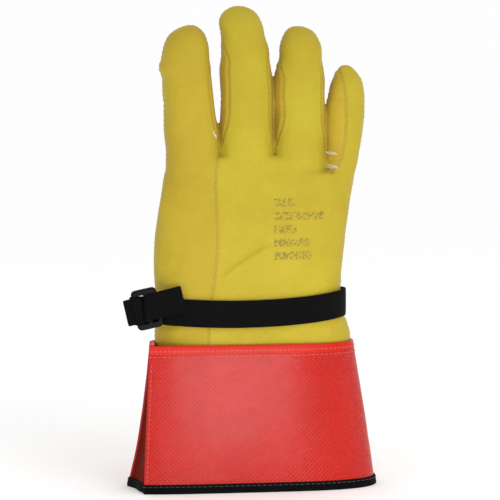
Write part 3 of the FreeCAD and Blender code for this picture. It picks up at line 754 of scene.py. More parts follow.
def stitchTree():
    tree = bpy.data.node_groups.new("stitchRow", "GeometryNodeTree")
    face = tree.interface
    face.new_socket("Geometry", in_out="INPUT", socket_type="NodeSocketGeometry")
    for label, value in (("Pitch", 0.003), ("Length", 0.0022), ("Thickness", 0.0006), ("Wander", 0.00008)):
        socket = face.new_socket(label, in_out="INPUT", socket_type="NodeSocketFloat")
        socket.default_value = value
    face.new_socket("Thread", in_out="INPUT", socket_type="NodeSocketMaterial")
    face.new_socket("Geometry", in_out="OUTPUT", socket_type="NodeSocketGeometry")
    nodes, links = tree.nodes, tree.links
    given = nodes.new("NodeGroupInput")
    given.label = "seam and sizes"
    spaced = nodes.new("GeometryNodeResampleCurve")
    spaced.label = "one point a stitch"
    spaced.mode = "LENGTH"
    tangent = nodes.new("GeometryNodeInputTangent")
    facing = nodes.new("FunctionNodeAlignEulerToVector")
    facing.label = "lie along the seam"
    facing.axis = "Z"
    jitter = nodes.new("FunctionNodeRandomValue")
    jitter.label = "hand of the sewer"
    jitter.data_type = "FLOAT_VECTOR"
    jitter.inputs["Seed"].default_value = 7
    spread = nodes.new("ShaderNodeVectorMath")
    spread.label = "wander both ways"
    spread.operation = "MULTIPLY_ADD"
    spread.inputs[1].default_value = (2, 2, 2)
    spread.inputs[2].default_value = (-1, -1, -1)
    sized = nodes.new("ShaderNodeVectorMath")
    sized.label = "wander size"
    sized.operation = "SCALE"
    moved = nodes.new("GeometryNodeSetPosition")
    moved.label = "uneven stitches"
    line = nodes.new("GeometryNodeCurvePrimitiveLine")
    line.label = "stitch length"
    line.mode = "DIRECTION"
    line.inputs["Direction"].default_value = (0, 0, 1)
    half = nodes.new("ShaderNodeMath")
    half.label = "half a stitch back"
    half.operation = "MULTIPLY"
    half.inputs[1].default_value = -0.5
    startAt = nodes.new("ShaderNodeCombineXYZ")
    startAt.label = "stitch start"
    bead = nodes.new("GeometryNodeResampleCurve")
    bead.label = "stitch rings"
    bead.inputs["Count"].default_value = 5
    along = nodes.new("GeometryNodeSplineParameter")
    plump = nodes.new("ShaderNodeFloatCurve")
    plump.label = "plump in the middle"
    bulge = plump.mapping.curves[0].points
    bulge[0].location = (0, 0.35)
    bulge[1].location = (1, 0.35)
    bulge.new(0.25, 0.9)
    bulge.new(0.75, 0.9)
    plump.mapping.update()
    radius = nodes.new("GeometryNodeSetCurveRadius")
    round6 = nodes.new("GeometryNodeCurvePrimitiveCircle")
    round6.label = "thread section"
    round6.inputs["Resolution"].default_value = 6
    halfThick = nodes.new("ShaderNodeMath")
    halfThick.operation = "MULTIPLY"
    halfThick.inputs[1].default_value = 0.5
    tube = nodes.new("GeometryNodeCurveToMesh")
    tube.label = "one stitch"
    tube.inputs["Fill Caps"].default_value = True
    placed = nodes.new("GeometryNodeInstanceOnPoints")
    placed.label = "stitches on the seam"
    real = nodes.new("GeometryNodeRealizeInstances")
    shade = nodes.new("GeometryNodeSetMaterial")
    smooth = nodes.new("GeometryNodeSetShadeSmooth")
    result = nodes.new("NodeGroupOutput")
    links.new(given.outputs["Geometry"], spaced.inputs["Curve"])
    links.new(given.outputs["Pitch"], spaced.inputs["Length"])
    links.new(tangent.outputs["Tangent"], facing.inputs["Vector"])
    links.new(spaced.outputs["Curve"], moved.inputs["Geometry"])
    links.new(jitter.outputs["Value"], spread.inputs[0])
    links.new(spread.outputs["Vector"], sized.inputs[0])
    links.new(given.outputs["Wander"], sized.inputs["Scale"])
    links.new(sized.outputs["Vector"], moved.inputs["Offset"])
    links.new(given.outputs["Length"], line.inputs["Length"])
    links.new(given.outputs["Length"], half.inputs[0])
    links.new(half.outputs["Value"], startAt.inputs["Z"])
    links.new(startAt.outputs["Vector"], line.inputs["Start"])
    links.new(line.outputs["Curve"], bead.inputs["Curve"])
    links.new(along.outputs["Factor"], plump.inputs["Value"])
    links.new(bead.outputs["Curve"], radius.inputs["Curve"])
    links.new(plump.outputs["Value"], radius.inputs["Radius"])
    links.new(given.outputs["Thickness"], halfThick.inputs[0])
    links.new(halfThick.outputs["Value"], round6.inputs["Radius"])
    links.new(radius.outputs["Curve"], tube.inputs["Curve"])
    links.new(round6.outputs["Curve"], tube.inputs["Profile Curve"])
    if "Scale" in tube.inputs:
        links.new(plump.outputs["Value"], tube.inputs["Scale"])
    links.new(moved.outputs["Geometry"], placed.inputs["Points"])
    links.new(tube.outputs["Mesh"], placed.inputs["Instance"])
    links.new(facing.outputs["Rotation"], placed.inputs["Rotation"])
    links.new(placed.outputs["Instances"], real.inputs["Geometry"])
    links.new(real.outputs["Geometry"], smooth.inputs["Geometry"])
    links.new(smooth.outputs["Geometry"], shade.inputs["Geometry"])
    links.new(given.outputs["Thread"], shade.inputs["Material"])
    links.new(shade.outputs["Geometry"], result.inputs["Geometry"])
    for column, node in enumerate(nodes):
        node.location = (column % 9 * 210, -(column // 9) * 260)
    return tree


stitchRows = stitchTree()


def sewRow(name, runs, sizes, thread, body, bend=None):
    # runs are lists of points in millimetres; each run is one line of stitches
    path = bpy.data.curves.new(name + "Path", "CURVE")
    path.dimensions = "3D"
    for run in runs:
        points = toFrame(run)
        spline = path.splines.new("POLY")
        spline.points.add(len(points) - 1)
        for point, co in zip(spline.points, points):
            point.co = (*co, 1)
    row = bpy.data.objects.new(name, path)
    bpy.context.scene.collection.objects.link(row)
    sewing = row.modifiers.new("stitches", "NODES")
    sewing.node_group = stitchRows
    ids = {s.name: s.identifier for s in stitchRows.interface.items_tree if s.in_out == "INPUT"}
    for label, value in sizes.items():
        sewing[ids[label]] = value * mm
    sewing[ids["Thread"]] = thread
    view = bpy.context.evaluated_depsgraph_get()
    view.update()
    mesh = bpy.data.meshes.new_from_object(row.evaluated_get(view))
    mesh.name = name
    row.modifiers.clear()
    bpy.data.objects.remove(row)
    made = bpy.data.objects.new(name, mesh)
    bpy.context.scene.collection.objects.link(made)
    return finish(made, body, thread, bend=bend)


# leather hand, fingers and thumb: one skin, cut into its panels along the seams

leatherSizes = dict(
    voxel=1.0, thickness=1.2, smoothing=7,
    seamDepth=0.5, seamWidth=0.6, seamRoll=0.22, puckerPitch=3.1, pucker=0.12,
    ripple=0.42, rippleSize=24, fineRipple=0.13, fineSize=7.5,
    strapPress=0.55, gather=0.5, seed=3,
)
# height, left edge, right edge, depth
handRows = ((78, -60, 61, 39), (90, -60.8, 62.6, 38.2), (96, -62.0, 63.0, 37.4), (104, -61.8, 60.6, 36.4),
            (120, -61.4, 58, 36), (134, -62.2, 57, 36), (144, -62.2, 58, 35.8), (154, -61.8, 59, 35.6),
            (164, -60.8, 60, 35), (175, -59.2, 61.8, 34), (185, -57.6, 63.4, 32), (195, -56, 65.2, 30),
            (200, -55.2, 66.0, 28))
knuckleRows = ((185, -55, 46, 29), (198, -54.6, 46.2, 28), (206, -54.2, 46.2, 26.4), (210, -53.8, 46, 24))
fingerRows = {
    "index": ((203, -54.4, -20.0, 27), (209, -54.2, -20.2, 26.8), (214, -54.2, -20.6, 26.5),
              (219, -54.8, -21.2, 26.2),
              (226, -55.6, -22.0, 26), (237, -55.6, -23.3, 26), (252, -56.4, -25.2, 25.6),
              (260, -56.8, -26, 25.2), (266, -59, -26.3, 24.6), (271, -57.2, -27, 24),
              (279, -55.4, -27.4, 22), (283, -53.8, -28.6, 20), (287, -51, -30.2, 16.5),
              (290, -46.5, -33, 11.5),
              (292, -41.5, -36, 5)),
    "middle": ((203, -21.2, 13.6, 27), (209, -21.1, 13.4, 26.8), (214, -20.9, 13.2, 26.6),
               (219, -20.6, 12.8, 26.6),
               (226, -20.4, 12.6, 26.4), (237, -20, 12.6, 26), (256, -20, 12.4, 26),
               (264, -20.6, 12, 25.6), (271, -20, 11, 25), (279, -19.6, 10, 24), (286, -19.6, 7.5, 22),
               (290, -20.2, 7, 20.8), (294, -20.8, 5.6, 19), (298, -19.6, 3.6, 15), (301.5, -16.5, 0.2, 10),
               (304, -12, -5, 4)),
    "ring": ((203, 13, 46.4, 27), (212, 13.4, 46, 26.6), (218, 14.2, 45.9, 26.5), (237, 14.6, 46, 26),
             (252, 13.9, 46, 25.5),
             (260, 14.5, 46, 25), (267, 15.8, 44.6, 24.4), (271, 17.5, 44, 23.8), (279, 18, 43.4, 22),
             (283, 19, 42, 20), (286.5, 20.6, 40, 16.5), (289.5, 22.6, 36.8, 11), (291.5, 25.5, 32, 5)),
    "little": ((190, 48, 62.5, 21), (198, 47.4, 65.4, 22), (205, 46.8, 67.2, 22), (215, 46.6, 68.9, 21.8),
               (230, 47, 70.8, 21.6), (243, 47.8, 71.4, 21.2), (249, 48.8, 71.4, 20.6), (252, 49.6, 71, 19.8),
               (256, 50.8, 70.4, 18), (260, 52.4, 68.6, 14.5), (264, 54.4, 65.4, 9), (267, 57.2, 62.2, 4)),
}
thumbRows = ((-17, -7, 7, 10), (-11, -13.5, 13.5, 21), (-3, -15.5, 15.5, 26.5), (18, -15.8, 15.8, 27),
             (36, -16, 16, 27), (52, -14.5, 14.5, 24), (63, -11.5, 11.5, 18.5), (71, -6.5, 6.5, 11),
             (74, -3, 3, 5))
thumbLean = math.radians(10)
fingerEdges = {"index": (-90, -21.2), "middle": (-21.2, 13.5), "ring": (13.5, 46.7), "little": (46.7, 90)}


def rootHeight(x):
    return 210.8 - 11 * softStep(x, 45, 49)


def backSeam(z):
    return curveThrough(((78, -29.4), (95, -30.2), (120, -28), (150, -24.5), (210, -23), (216, -21.4)), z)[:,
                                                                                                           0]


def littleSeam(z):
    return curveThrough(((199, 48.6), (202, 50.4), (205, 53), (215, 56.6), (230, 58.2), (250, 57.5),
                         (260, 55.8), (266, 54)), z)[:, 0]


def sideCut(z):
    return 2 - 2 * softStep(z, 200, 240)


def joined(name, forms):
    points, faces = [], []
    for formPoints, formFaces in forms:
        base = len(points)
        points += list(formPoints)
        faces += [tuple(base + i for i in f) for f in formFaces]
    return cleanNormals(makeObject(name, points, faces))


def neckForm():
    # short round neck between the palm and the thumb
    rings, around = 14, 48
    points = []
    for r in range(rings):
        y = 10 + 26 * r / (rings - 1)
        wide = 15.2 + 1.6 * math.exp(-((y - 17) / 2.2) ** 2)
        for k in range(around):
            a = 2 * math.pi * k / around
            points.append((thumbPlace[0] + wide * math.cos(a), y, thumbPlace[2] + wide * math.sin(a)))
    faces = ringFaces(rings, around)
    faces += [tuple(range(around))[::-1], tuple(range((rings - 1) * around, rings * around))]
    return points, faces


def leanForm(form):
    points, faces = form
    c, s = math.cos(thumbLean), math.sin(thumbLean)
    moved = [(thumbPlace[0] + x * c + z * s, thumbPlace[1] + y, thumbPlace[2] - x * s + z * c) for x, y,
             z in points]
    return moved, faces


forms = [loftForm(handRows, 1.5, 140, 4.2, 2.0), loftForm(knuckleRows, 1.5, 120, 6, 2.4)]
forms += [loftForm(rows, 1.2, 72, 2.6, 2.3) for rows in fingerRows.values()]
forms += [leanForm(loftForm(thumbRows, 1.5, 64, 2.5, 2.2)), neckForm()]
skin = joined("leatherSkin", forms)
remesh = skin.modifiers.new("one skin", "REMESH")
remesh.mode = "VOXEL"
remesh.voxel_size = leatherSizes["voxel"]
bakeModifiers(skin)
bm = bmesh.new()
bm.from_mesh(skin.data)
for turn in range(leatherSizes["smoothing"]):
    bmesh.ops.smooth_vert(bm, verts=bm.verts, factor=0.6, use_axis_x=True, use_axis_y=True, use_axis_z=True)
    bmesh.ops.smooth_vert(bm, verts=bm.verts, factor=-0.5 if turn % 2 else -0.4, use_axis_x=True,
                          use_axis_y=True, use_axis_z=True)
# the forks between the fingers are smoothed further, where the lofts meet in a sharp valley
forkSizes = dict(turns=14, reach=9, height=18)
forkPlaces = ((-21.2, 202), (13.5, 202), (46.7, 191))
forks = [v for v in bm.verts if any(abs(v.co.x - x) < forkSizes["reach"]
                                    and low < v.co.z < low + forkSizes["height"] for x, low in forkPlaces)]
for turn in range(forkSizes["turns"]):
    bmesh.ops.smooth_vert(bm, verts=forks, factor=0.5, use_axis_x=True, use_axis_y=True, use_axis_z=True)
openEnd = [f for f in bm.faces if f.calc_center_median().z < 79.4]
bmesh.ops.delete(bm, geom=openEnd, context="FACES")
print("skin faces", len(bm.faces))


def cutAlong(bm, field):
    # splits the skin along the line where a field of the points is zero
    bm.verts.ensure_lookup_table()
    points = np.array([v.co for v in bm.verts])
    values = field(points)
    for v in bm.verts:
        v.tag = False
    value = {}
    for v, number in zip(bm.verts, values):
        value[v] = number
    crossing = [e for e in bm.edges if value[e.verts[0]] * value[e.verts[1]] < 0
                and abs(value[e.verts[0]]) + abs(value[e.verts[1]]) < 8]
    for e in crossing:
        a, b = e.verts
        if a.tag or b.tag:
            continue
        share = value[a] / (value[a] - value[b])
        if share < 0.12:
            a.co = a.co.lerp(b.co, share)
            a.tag = True
        elif share > 0.88:
            b.co = b.co.lerp(a.co, 1 - share)
            b.tag = True
    touched = set()
    for e in crossing:
        a, b = e.verts
        if a.tag or b.tag:
            touched.update(f for v in (a, b) if v.tag for f in v.link_faces)
            continue
        touched.update(e.link_faces)
        share = value[a] / (value[a] - value[b])
        edge, new = bmesh.utils.edge_split(e, a, share)
        new.tag = True
        value[new] = 0.0
    for face in touched:
        if not face.is_valid:
            continue
        onLine = [v for v in face.verts if v.tag]
        if len(onLine) >= 2:
            a, b = onLine[0], onLine[-1] if len(onLine) == 2 else onLine[len(onLine) // 2]
            if not any(e.other_vert(a) is b for e in a.link_edges if face in e.link_faces):
                bmesh.utils.face_split(face, a, b)


def far(keep, values):
    # outside the kept part the field is made large, so nothing is cut there
    return np.where(keep, values, 50.0)


def offThumb(p):
    # true away from the thumb and its neck
    away = np.hypot(p[:, 0] - thumbPlace[0], p[:, 2] - thumbPlace[2])
    return ~((p[:, 2] > 118) & ((p[:, 1] > 20.2) | ((p[:, 1] > 17.2) & (away < 20))))


def stripWidth(z, top, half):
    return (half - (half + 3) * softStep(z, top - 26, top + 1)) * (0.22 + 0.78 * softStep(z, 204, 236))


stripTops = {("index", 1): (282, 8.6), ("middle", -1): (294, 9.6), ("middle", 1): (292, 8.6),
             ("ring", -1): (283, 9.8), ("ring", 1): (282, 8.6)}
fingerMiddle = {"index": -39, "middle": -4, "ring": 30}


def stripField(finger, side):
    top, half = stripTops[(finger, side)]
    low, high = fingerEdges[finger]

    def field(p):
        keep = (p[:, 0] > low) & (p[:, 0] < high) & ((p[:, 0] - fingerMiddle[finger]) * side > 0)
        keep &= (p[:, 2] > 208) & offThumb(p)
        return far(keep, np.abs(p[:, 1]) - stripWidth(p[:, 2], top, half))
    return field


cutFields = [
    lambda p: far(offThumb(p), p[:, 2] - rootHeight(p[:, 0])),
    lambda p: far(offThumb(p), p[:, 1] - sideCut(p[:, 2])),
    lambda p: far((p[:, 1] < 6) & (p[:, 2] < 214), p[:, 0] - backSeam(p[:, 2])),
    lambda p: far((p[:, 2] > 199) & (p[:, 0] > 46) & offThumb(p), p[:, 0] - littleSeam(p[:, 2])),
    lambda p: far(p[:, 1] > 10, np.hypot(p[:, 0] - thumbPlace[0], p[:, 2] - thumbPlace[2]) - 18
                  + 40 * (p[:, 1] > 21)),
    lambda p: far(~offThumb(p), p[:, 1] - 21.5),
    lambda p: far(~offThumb(p) & (p[:, 1] > 24), p[:, 1] - thumbPlace[1]),
]
cutFields += [stripField(*key) for key in stripTops]
for edge in (-21.2, 13.5, 46.7):
    cutFields.append(lambda p, edge=edge: far((p[:, 2] > 196) & offThumb(p), p[:, 0] - edge))
for field in cutFields:
    cutAlong(bm, field)
bmesh.ops.triangulate(bm, faces=[f for f in bm.faces if len(f.verts) > 4])
bm.to_mesh(skin.data)
bm.free()
mesh = skin.data
print("panels cut")

count = len(mesh.vertices)
rest = np.empty(count * 3)
mesh.vertices.foreach_get("co", rest)
rest = rest.reshape(-1, 3)
faceMiddle = np.empty(len(mesh.polygons) * 3)
mesh.polygons.foreach_get("center", faceMiddle)
faceMiddle = faceMiddle.reshape(-1, 3)
fx, fy, fz = faceMiddle.T

panelNames = ["backPanel", "thumbSidePanel", "palmPanel", "indexBack", "indexPalm", "indexStrip",
              "middleBack",
              "middlePalm", "middleLeftStrip", "middleRightStrip", "ringBack", "ringPalm", "ringLeftStrip",
              "ringRightStrip", "littleBack", "littlePalm", "littleStrip", "thumbGusset", "thumbInner",
              "thumbOuter"]
panel = np.zeros(len(faceMiddle), int)
overHand = fz > rootHeight(fx)
backFace = fy < sideCut(fz)
panel[~overHand & backFace & (fx >= backSeam(fz))] = 0
panel[~overHand & backFace & (fx < backSeam(fz))] = 1
panel[~overHand & ~backFace] = 2
for finger, first in (("index", 3), ("middle", 6), ("ring", 10), ("little", 14)):
    low, high = fingerEdges[finger]
    here = overHand & (fx > low) & (fx <= high)
    panel[here & backFace] = first
    panel[here & ~backFace] = first + 1
    if finger == "little":
        panel[here & (fx < littleSeam(fz))] = first + 2
for number, key in ((5, ("index", 1)), (8, ("middle", -1)), (9, ("middle", 1)), (12, ("ring", -1)),
                    (13, ("ring", 1))):
    finger, side = key
    low, high = fingerEdges[finger]
    top, half = stripTops[key]
    here = overHand & (fx > low) & (fx <= high) & ((fx - fingerMiddle[finger]) * side > 0)
    panel[here & (np.abs(fy) < stripWidth(fz, top, half))] = number
fromThumb = np.hypot(fx - thumbPlace[0], fz - thumbPlace[2])
neck = (fy > 10) & (fromThumb < 18) & (fy < 21.5)
panel[neck] = 17
panel[~offThumb(faceMiddle) & (fy >= 21.5) & (fy < thumbPlace[1])] = 18
panel[~offThumb(faceMiddle) & (fy >= 21.5) & (fy >= thumbPlace[1])] = 19

# seams: edges between two panels, apart from the line where the fingers start to bend
bm = bmesh.new()
bm.from_mesh(mesh)
bm.faces.ensure_lookup_table()
fingerOf = [0, 0, 0] + [1] * 3 + [2] * 4 + [3] * 4 + [4] * 3 + [5] * 3
seamEdges = []
for e in bm.edges:
    if len(e.link_faces) != 2:
        continue
    a, b = (panel[f.index] for f in e.link_faces)
    if a == b:
        continue
    atRoot = fingerOf[a] != fingerOf[b] and 0 in (fingerOf[a], fingerOf[b]) and 5 not in (fingerOf[a],
                                                                                          fingerOf[b])
    if atRoot or {a, b} == {17, 18}:
        continue
    seamEdges.append((e.verts[0].index, e.verts[1].index, a, b))
bm.free()
print("panel sizes", np.bincount(panel, minlength=20).tolist(), "seam edges", len(seamEdges))


def chains(edges):
    # ordered runs of points from loose edges
    nextTo = {}
    for a, b in edges:
        nextTo.setdefault(a, []).append(b)
        nextTo.setdefault(b, []).append(a)
    left = {tuple(sorted(e)) for e in edges}
    runs = []
    starts = sorted(v for v, n in nextTo.items() if len(n) != 2) + sorted(nextTo)
    for start in starts:
        for first in nextTo[start]:
            if tuple(sorted((start, first))) not in left:
                continue
            run = [start, first]
            left.discard(tuple(sorted((start, first))))
            while len(nextTo[run[-1]]) == 2:
                ahead = [n for n in nextTo[run[-1]] if tuple(sorted((run[-1], n))) in left]
                if not ahead:
                    break
                left.discard(tuple(sorted((run[-1], ahead[0]))))
                run.append(ahead[0])
            runs.append(run)
    return runs


seamRuns = chains([(a, b) for a, b, pa, pb in seamEdges])
seamRuns = [run for run in seamRuns if len(run) > 5]
seamTree = KDTree(sum(len(r) for r in seamRuns))
seamAlong = []
for run in seamRuns:
    length = 0
    for i, v in enumerate(run):
        if i:
            length += float(np.linalg.norm(rest[v] - rest[run[i - 1]]))
        seamTree.insert(Vector(rest[v]), len(seamAlong))
        seamAlong.append(length)
seamTree.balance()
toSeam = np.full(count, 9.0)
along = np.zeros(count)
for i, co in enumerate(rest):
    found, number, distance = seamTree.find(co)
    if distance < 9:
        toSeam[i] = distance
        along[i] = seamAlong[number]

normals = np.empty(count * 3)
mesh.vertex_normals.foreach_get("vector", normals)
normals = normals.reshape(-1, 3)


def hideNoise(points, size, seed):
    # smooth noise at each point, -1 to 1
    shift = Vector((seed * 13.7, seed * 7.1, seed * 3.3))
    return np.array([noise.noise(Vector(p) / size + shift) for p in points])


x, y, z = rest.T
strapMiddle = curveThrough(((-62, 114), (-40, 112.9), (-10, 112), (20, 113), (45, 115.4), (62, 117.8)), x)[:,
                                                                                                           0]
fromStrap = np.abs(z - strapMiddle)
free = softStep(fromStrap, 8, 15)
push = leatherSizes["ripple"] * hideNoise(rest, leatherSizes["rippleSize"], leatherSizes["seed"]) * free
push += leatherSizes["fineRipple"] * hideNoise(rest, leatherSizes["fineSize"],
                                               leatherSizes["seed"] + 4) * free
push -= leatherSizes["strapPress"] * (1 - softStep(fromStrap, 9, 13)) * offThumb(rest)
gathers = np.sin(x / 2.9 + 1.7 * np.sin(x / 11.0) + 0.8 * np.sign(y))
push += leatherSizes["gather"] * gathers * np.exp(-((fromStrap - 12) / 7) ** 2) * free * offThumb(rest)
# one long crease runs up across the back from the strap, two shorter ones beside it
for (ax, az), (bx, bz), wide, deep in (((-24, 135.5), (13, 159), 1.5, 1.15),
                                       ((-30, 127), (-14, 134), 1.5, 0.3),
                                       ((22, 126), (42, 135), 1.9, 0.3), ((-52, 136), (-44, 156), 2.2, 0.35),
                                       ((40, 186), (30, 166), 2.4, 0.3)):
    run = np.array((bx - ax, bz - az), float)
    size = np.linalg.norm(run)
    t = ((x - ax) * run[0] + (z - az) * run[1]) / size**2
    off = ((x - ax) * run[1] - (z - az) * run[0]) / size + 1.4 * np.sin(t * 3.1)
    fade = softStep(t, -0.05, 0.25) * (1 - softStep(t, 0.7, 1.05)) * (y < 0)
    push += fade * (-deep * np.exp(-(off / wide) ** 2) + 0.5 * deep
                    * np.exp(-((off - 2.1 * wide) / (1.4 * wide)) ** 2))
# finger joints crease across, more on the palm side
for finger, creaseHeights in (("index", (243, 266)), ("middle", (246, 273)), ("ring", (243, 266)),
                              ("little", (229, 247))):
    low, high = fingerEdges[finger]
    inside = (x > low) & (x <= high) & (z > rootHeight(x) + 6)
    for height in creaseHeights:
        line = z - height - 0.8 * np.sin(x / 3.1)
        side = np.where(y > 0, 0.55, 0.16)
        push -= inside * side * (np.exp(-(line / 1.1) ** 2) + 0.6 * np.exp(-((line - 3.4) / 0.9) ** 2)
                                 + 0.5 * np.exp(-((line + 3.6) / 0.9) ** 2))
# palm creases
for (ax, az), (bx, bz), deep in (((-48, 186), (50, 172), 0.6), ((-44, 172), (34, 150), 0.5),
                                 ((-18, 166), (-12, 126), 0.6)):
    run = np.array((bx - ax, bz - az), float)
    size = np.linalg.norm(run)
    t = ((x - ax) * run[0] + (z - az) * run[1]) / size**2
    off = ((x - ax) * run[1] - (z - az) * run[0]) / size + 3 * np.sin(t * 3.3)
    ends = softStep(t, 0, 0.2) * (1 - softStep(t, 0.8, 1))
    push -= ends * (y > 8) * offThumb(rest) * deep * np.exp(-(off / 1.6) ** 2)
pucker = np.sin(2 * math.pi * along / leatherSizes["puckerPitch"])
push -= leatherSizes["seamDepth"] * np.exp(-(toSeam / leatherSizes["seamWidth"]) ** 2)
push += (leatherSizes["seamRoll"] + leatherSizes["pucker"] * pucker) * np.exp(-((toSeam - 2.1) / 1.0) ** 2)
outer = rest + normals * push[:, None]
mesh.vertices.foreach_set("co", outer.ravel())
mesh.update()
outerNormal = np.empty(count * 3)
mesh.vertex_normals.foreach_get("vector", outerNormal)
outerNormal = outerNormal.reshape(-1, 3)
# weight near the seams, used by the leather for its painted seam shade and dirt
seamNear = np.exp(-(toSeam / 0.85) ** 2)
print("leather relief done")

faceCorners = [tuple(p.vertices) for p in mesh.polygons]
bpy.data.objects.remove(skin)


def leatherPiece(number):
    # one panel with its thickness: outside, inside and the cut edge round it
    chosen = np.flatnonzero(panel == number)
    corners = [faceCorners[i] for i in chosen]
    used = sorted({v for f in corners for v in f})
    new = {v: i for i, v in enumerate(used)}
    total = len(used)
    top = outer[used]
    inner = top - outerNormal[used] * leatherSizes["thickness"]
    faces = [tuple(new[v] for v in f) for f in corners]
    edges = {}
    for f in faces:
        for i, a in enumerate(f):
            b = f[(i + 1) % len(f)]
            if (b, a) in edges:
                del edges[(b, a)]
            else:
                edges[(a, b)] = True
    below = [tuple(v + total for v in reversed(f)) for f in faces]
    rims = [(b, a, a + total, b + total) for a, b in edges]
    name = panelNames[number]
    made = makeObject(name, toFrame(np.vstack([top, inner])), faces + below + rims)
    skinMesh = made.data
    near = skinMesh.attributes.new("seamNear", "FLOAT", "POINT")
    near.data.foreach_set("value", np.tile(seamNear[used], 2).astype(np.float32))
    loopVertex = np.empty(len(skinMesh.loops), int)
    skinMesh.loops.foreach_get("vertex_index", loopVertex)
    loopNormal = np.where((loopVertex < total)[:, None], outerNormal[used][loopVertex % total],
                          -outerNormal[used][loopVertex % total])
    rimStart = sum(len(f) for f in faces) * 2
    flat = np.array([p.normal for p in skinMesh.polygons])[len(faces) * 2:]
    loopNormal[rimStart:] = np.repeat(flat, 4, axis=0)
    skinMesh.normals_split_custom_set(loopNormal.tolist())
    return made


panelNodes = {
    "backPanel": ("back_panel",), "thumbSidePanel": ("back_side_panel",), "palmPanel": ("palm_panel",),
    "indexBack": ("index_back", "index_knuckle_fold"), "indexPalm": ("index_palm",),
              "indexStrip": ("index_fourchette",),
    "middleBack": ("middle_back", "middle_knuckle_fold"), "middlePalm": ("middle_palm",),
    "middleLeftStrip": ("middle_index_side_fourchette",),
              "middleRightStrip": ("middle_ring_side_fourchette",),
    "ringBack": ("ring_back", "ring_knuckle_fold"), "ringPalm": ("ring_palm",),
    "ringLeftStrip": ("ring_middle_side_fourchette",), "ringRightStrip": ("ring_little_side_fourchette",),
    "littleBack": ("little_back", "little_knuckle_fold"), "littlePalm": ("little_palm",),
    "littleStrip": ("little_fourchette",), "thumbGusset": ("thumb_base_gusset",),
    "thumbInner": ("thumb_palm_side",), "thumbOuter": ("thumb_outer_side",),
}
bendFrom = {"index": (214.2, 236), "middle": (217.8, 238), "ring": (217.8, 238), "little": (203, 224)}


def fingerBend(finger):
    low, high = bendFrom[finger]
    middle = handMiddle * mm
    return ("hand", f"{finger}_finger", (0, middle, low * mm), (0, middle, high * mm))


gussetBend = ("hand", "thumb", tuple(toFrame((0, 18.2, 138.5))[0]), tuple(toFrame((0, 21.5, 138.5))[0]))
for number, name in enumerate(panelNames):
    piece = leatherPiece(number)
    look = leatherStamped if name == "backPanel" else leatherPlain
    # the fourchettes' leather is a copy with painted shade
    if "Strip" in name:
        look = leatherStripShaded
    # the thumb-side panels' leather is a copy with painted shade
    elif name in ("thumbSidePanel", "indexBack"):
        look = leatherSideShaded
    finger = next((f for f in fingerEdges if name.startswith(f)), None)
    if finger:
        finish(piece, None, look, panelNodes[name], bend=fingerBend(finger))
    elif name == "thumbGusset":
        finish(piece, None, look, panelNodes[name], bend=gussetBend)
    else:
        finish(piece, "thumb" if name.startswith("thumb") and name != "thumbSidePanel" else "hand", look,
               panelNodes[name])
print("leather pieces", len(panelNames))


# seams sewn in the leather

seamSewing = {"Pitch": 3.1, "Length": 2.3, "Thickness": 0.42, "Wander": 0.06}


def seamLines(group):
    edges = [(a, b) for a, b, pa, pb in seamEdges if max(fingerOf[pa], fingerOf[pb]) == group]
    if group == 5:
        edges = [(a, b) for a, b, pa, pb in seamEdges if {pa, pb} == {18, 19}]
    runs = [run for run in chains(edges) if len(run) > 5]
    return [outer[run] + outerNormal[run] * 0.08 for run in runs]


sewRow("handSeamStitches", seamLines(0), seamSewing, threadYellow, "hand")
for group, finger in enumerate(fingerEdges, 1):
    sewRow(f"{finger}SeamStitches", seamLines(group), seamSewing, threadYellow, None,
           bend=fingerBend(finger))
sewRow("thumbSeamStitches", seamLines(5), seamSewing, threadYellow, "thumb")
collarLines = chains([(a, b) for a, b, pa, pb in seamEdges if {pa, pb} == {2, 17}])
sewRow("thumbMouthStitches", [outer[run] + outerNormal[run] * 0.08 for run in collarLines if len(run) > 5],
       seamSewing, threadYellow, "hand")
print("leather sewn")


def onSkin(x, z, lift=0.25):
    # point on the back of the leather in front of a place
    near = np.argmin((outer[:, 0] - x) ** 2 + (outer[:, 2] - z) ** 2 + 4
                     * np.maximum(outer[:, 1] + 4, 0) ** 2)
    return outer[near] + outerNormal[near] * lift


def barTack(name, ends, rows, finger):
    # a short bar of close white stitches over a fork
    (ax, az), (bx, bz) = ends
    runs = []
    for row in range(rows):
        t = np.linspace(0, 1, 7)
        drop = (row - (rows - 1) / 2) * 0.7
        runs.append([onSkin(ax + (bx - ax) * s, az + (bz - az) * s + drop) for s in t])
    return sewRow(name, runs, {"Pitch": 1.5, "Length": 1.7, "Thickness": 0.75, "Wander": 0.10}, threadWhite,
                  "hand", bend=fingerBend(finger) if finger else None)


barTack("littleForkTackHigh", ((46.4, 212.4), (52.0, 211.6)), 2, "little")
barTack("littleForkTackLow", ((48.0, 203.6), (52.4, 203.2)), 3, None)
barTack("indexForkTack", ((-25.6, 225.6), (-24.2, 223.2)), 2, "index")


# cuff of coated cloth

cuffSizes = dict(height=92.6, thickness=1.2, weavePitch=2.72, relief=0.10, hemHeight=6.0)
# height, half depth, right edge, left edge of the palm sheet, left edge of the front sheet
cuffRows = ((0, 25, 79.4, -78.6, -71.6), (9, 24.6, 78.2, -77.0, -71.2), (19, 24.2, 76.8, -74.6, -70.8),
            (29, 23.8, 75.2, -72.4, -70.3), (44, 23.2, 72.8, -69.8, -69.6), (59, 22.7, 70.3, -67.8, -68.9),
            (75, 22.2, 67.6, -66.0, -68.1), (93, 22, 64.6, -64.4, -67.3))


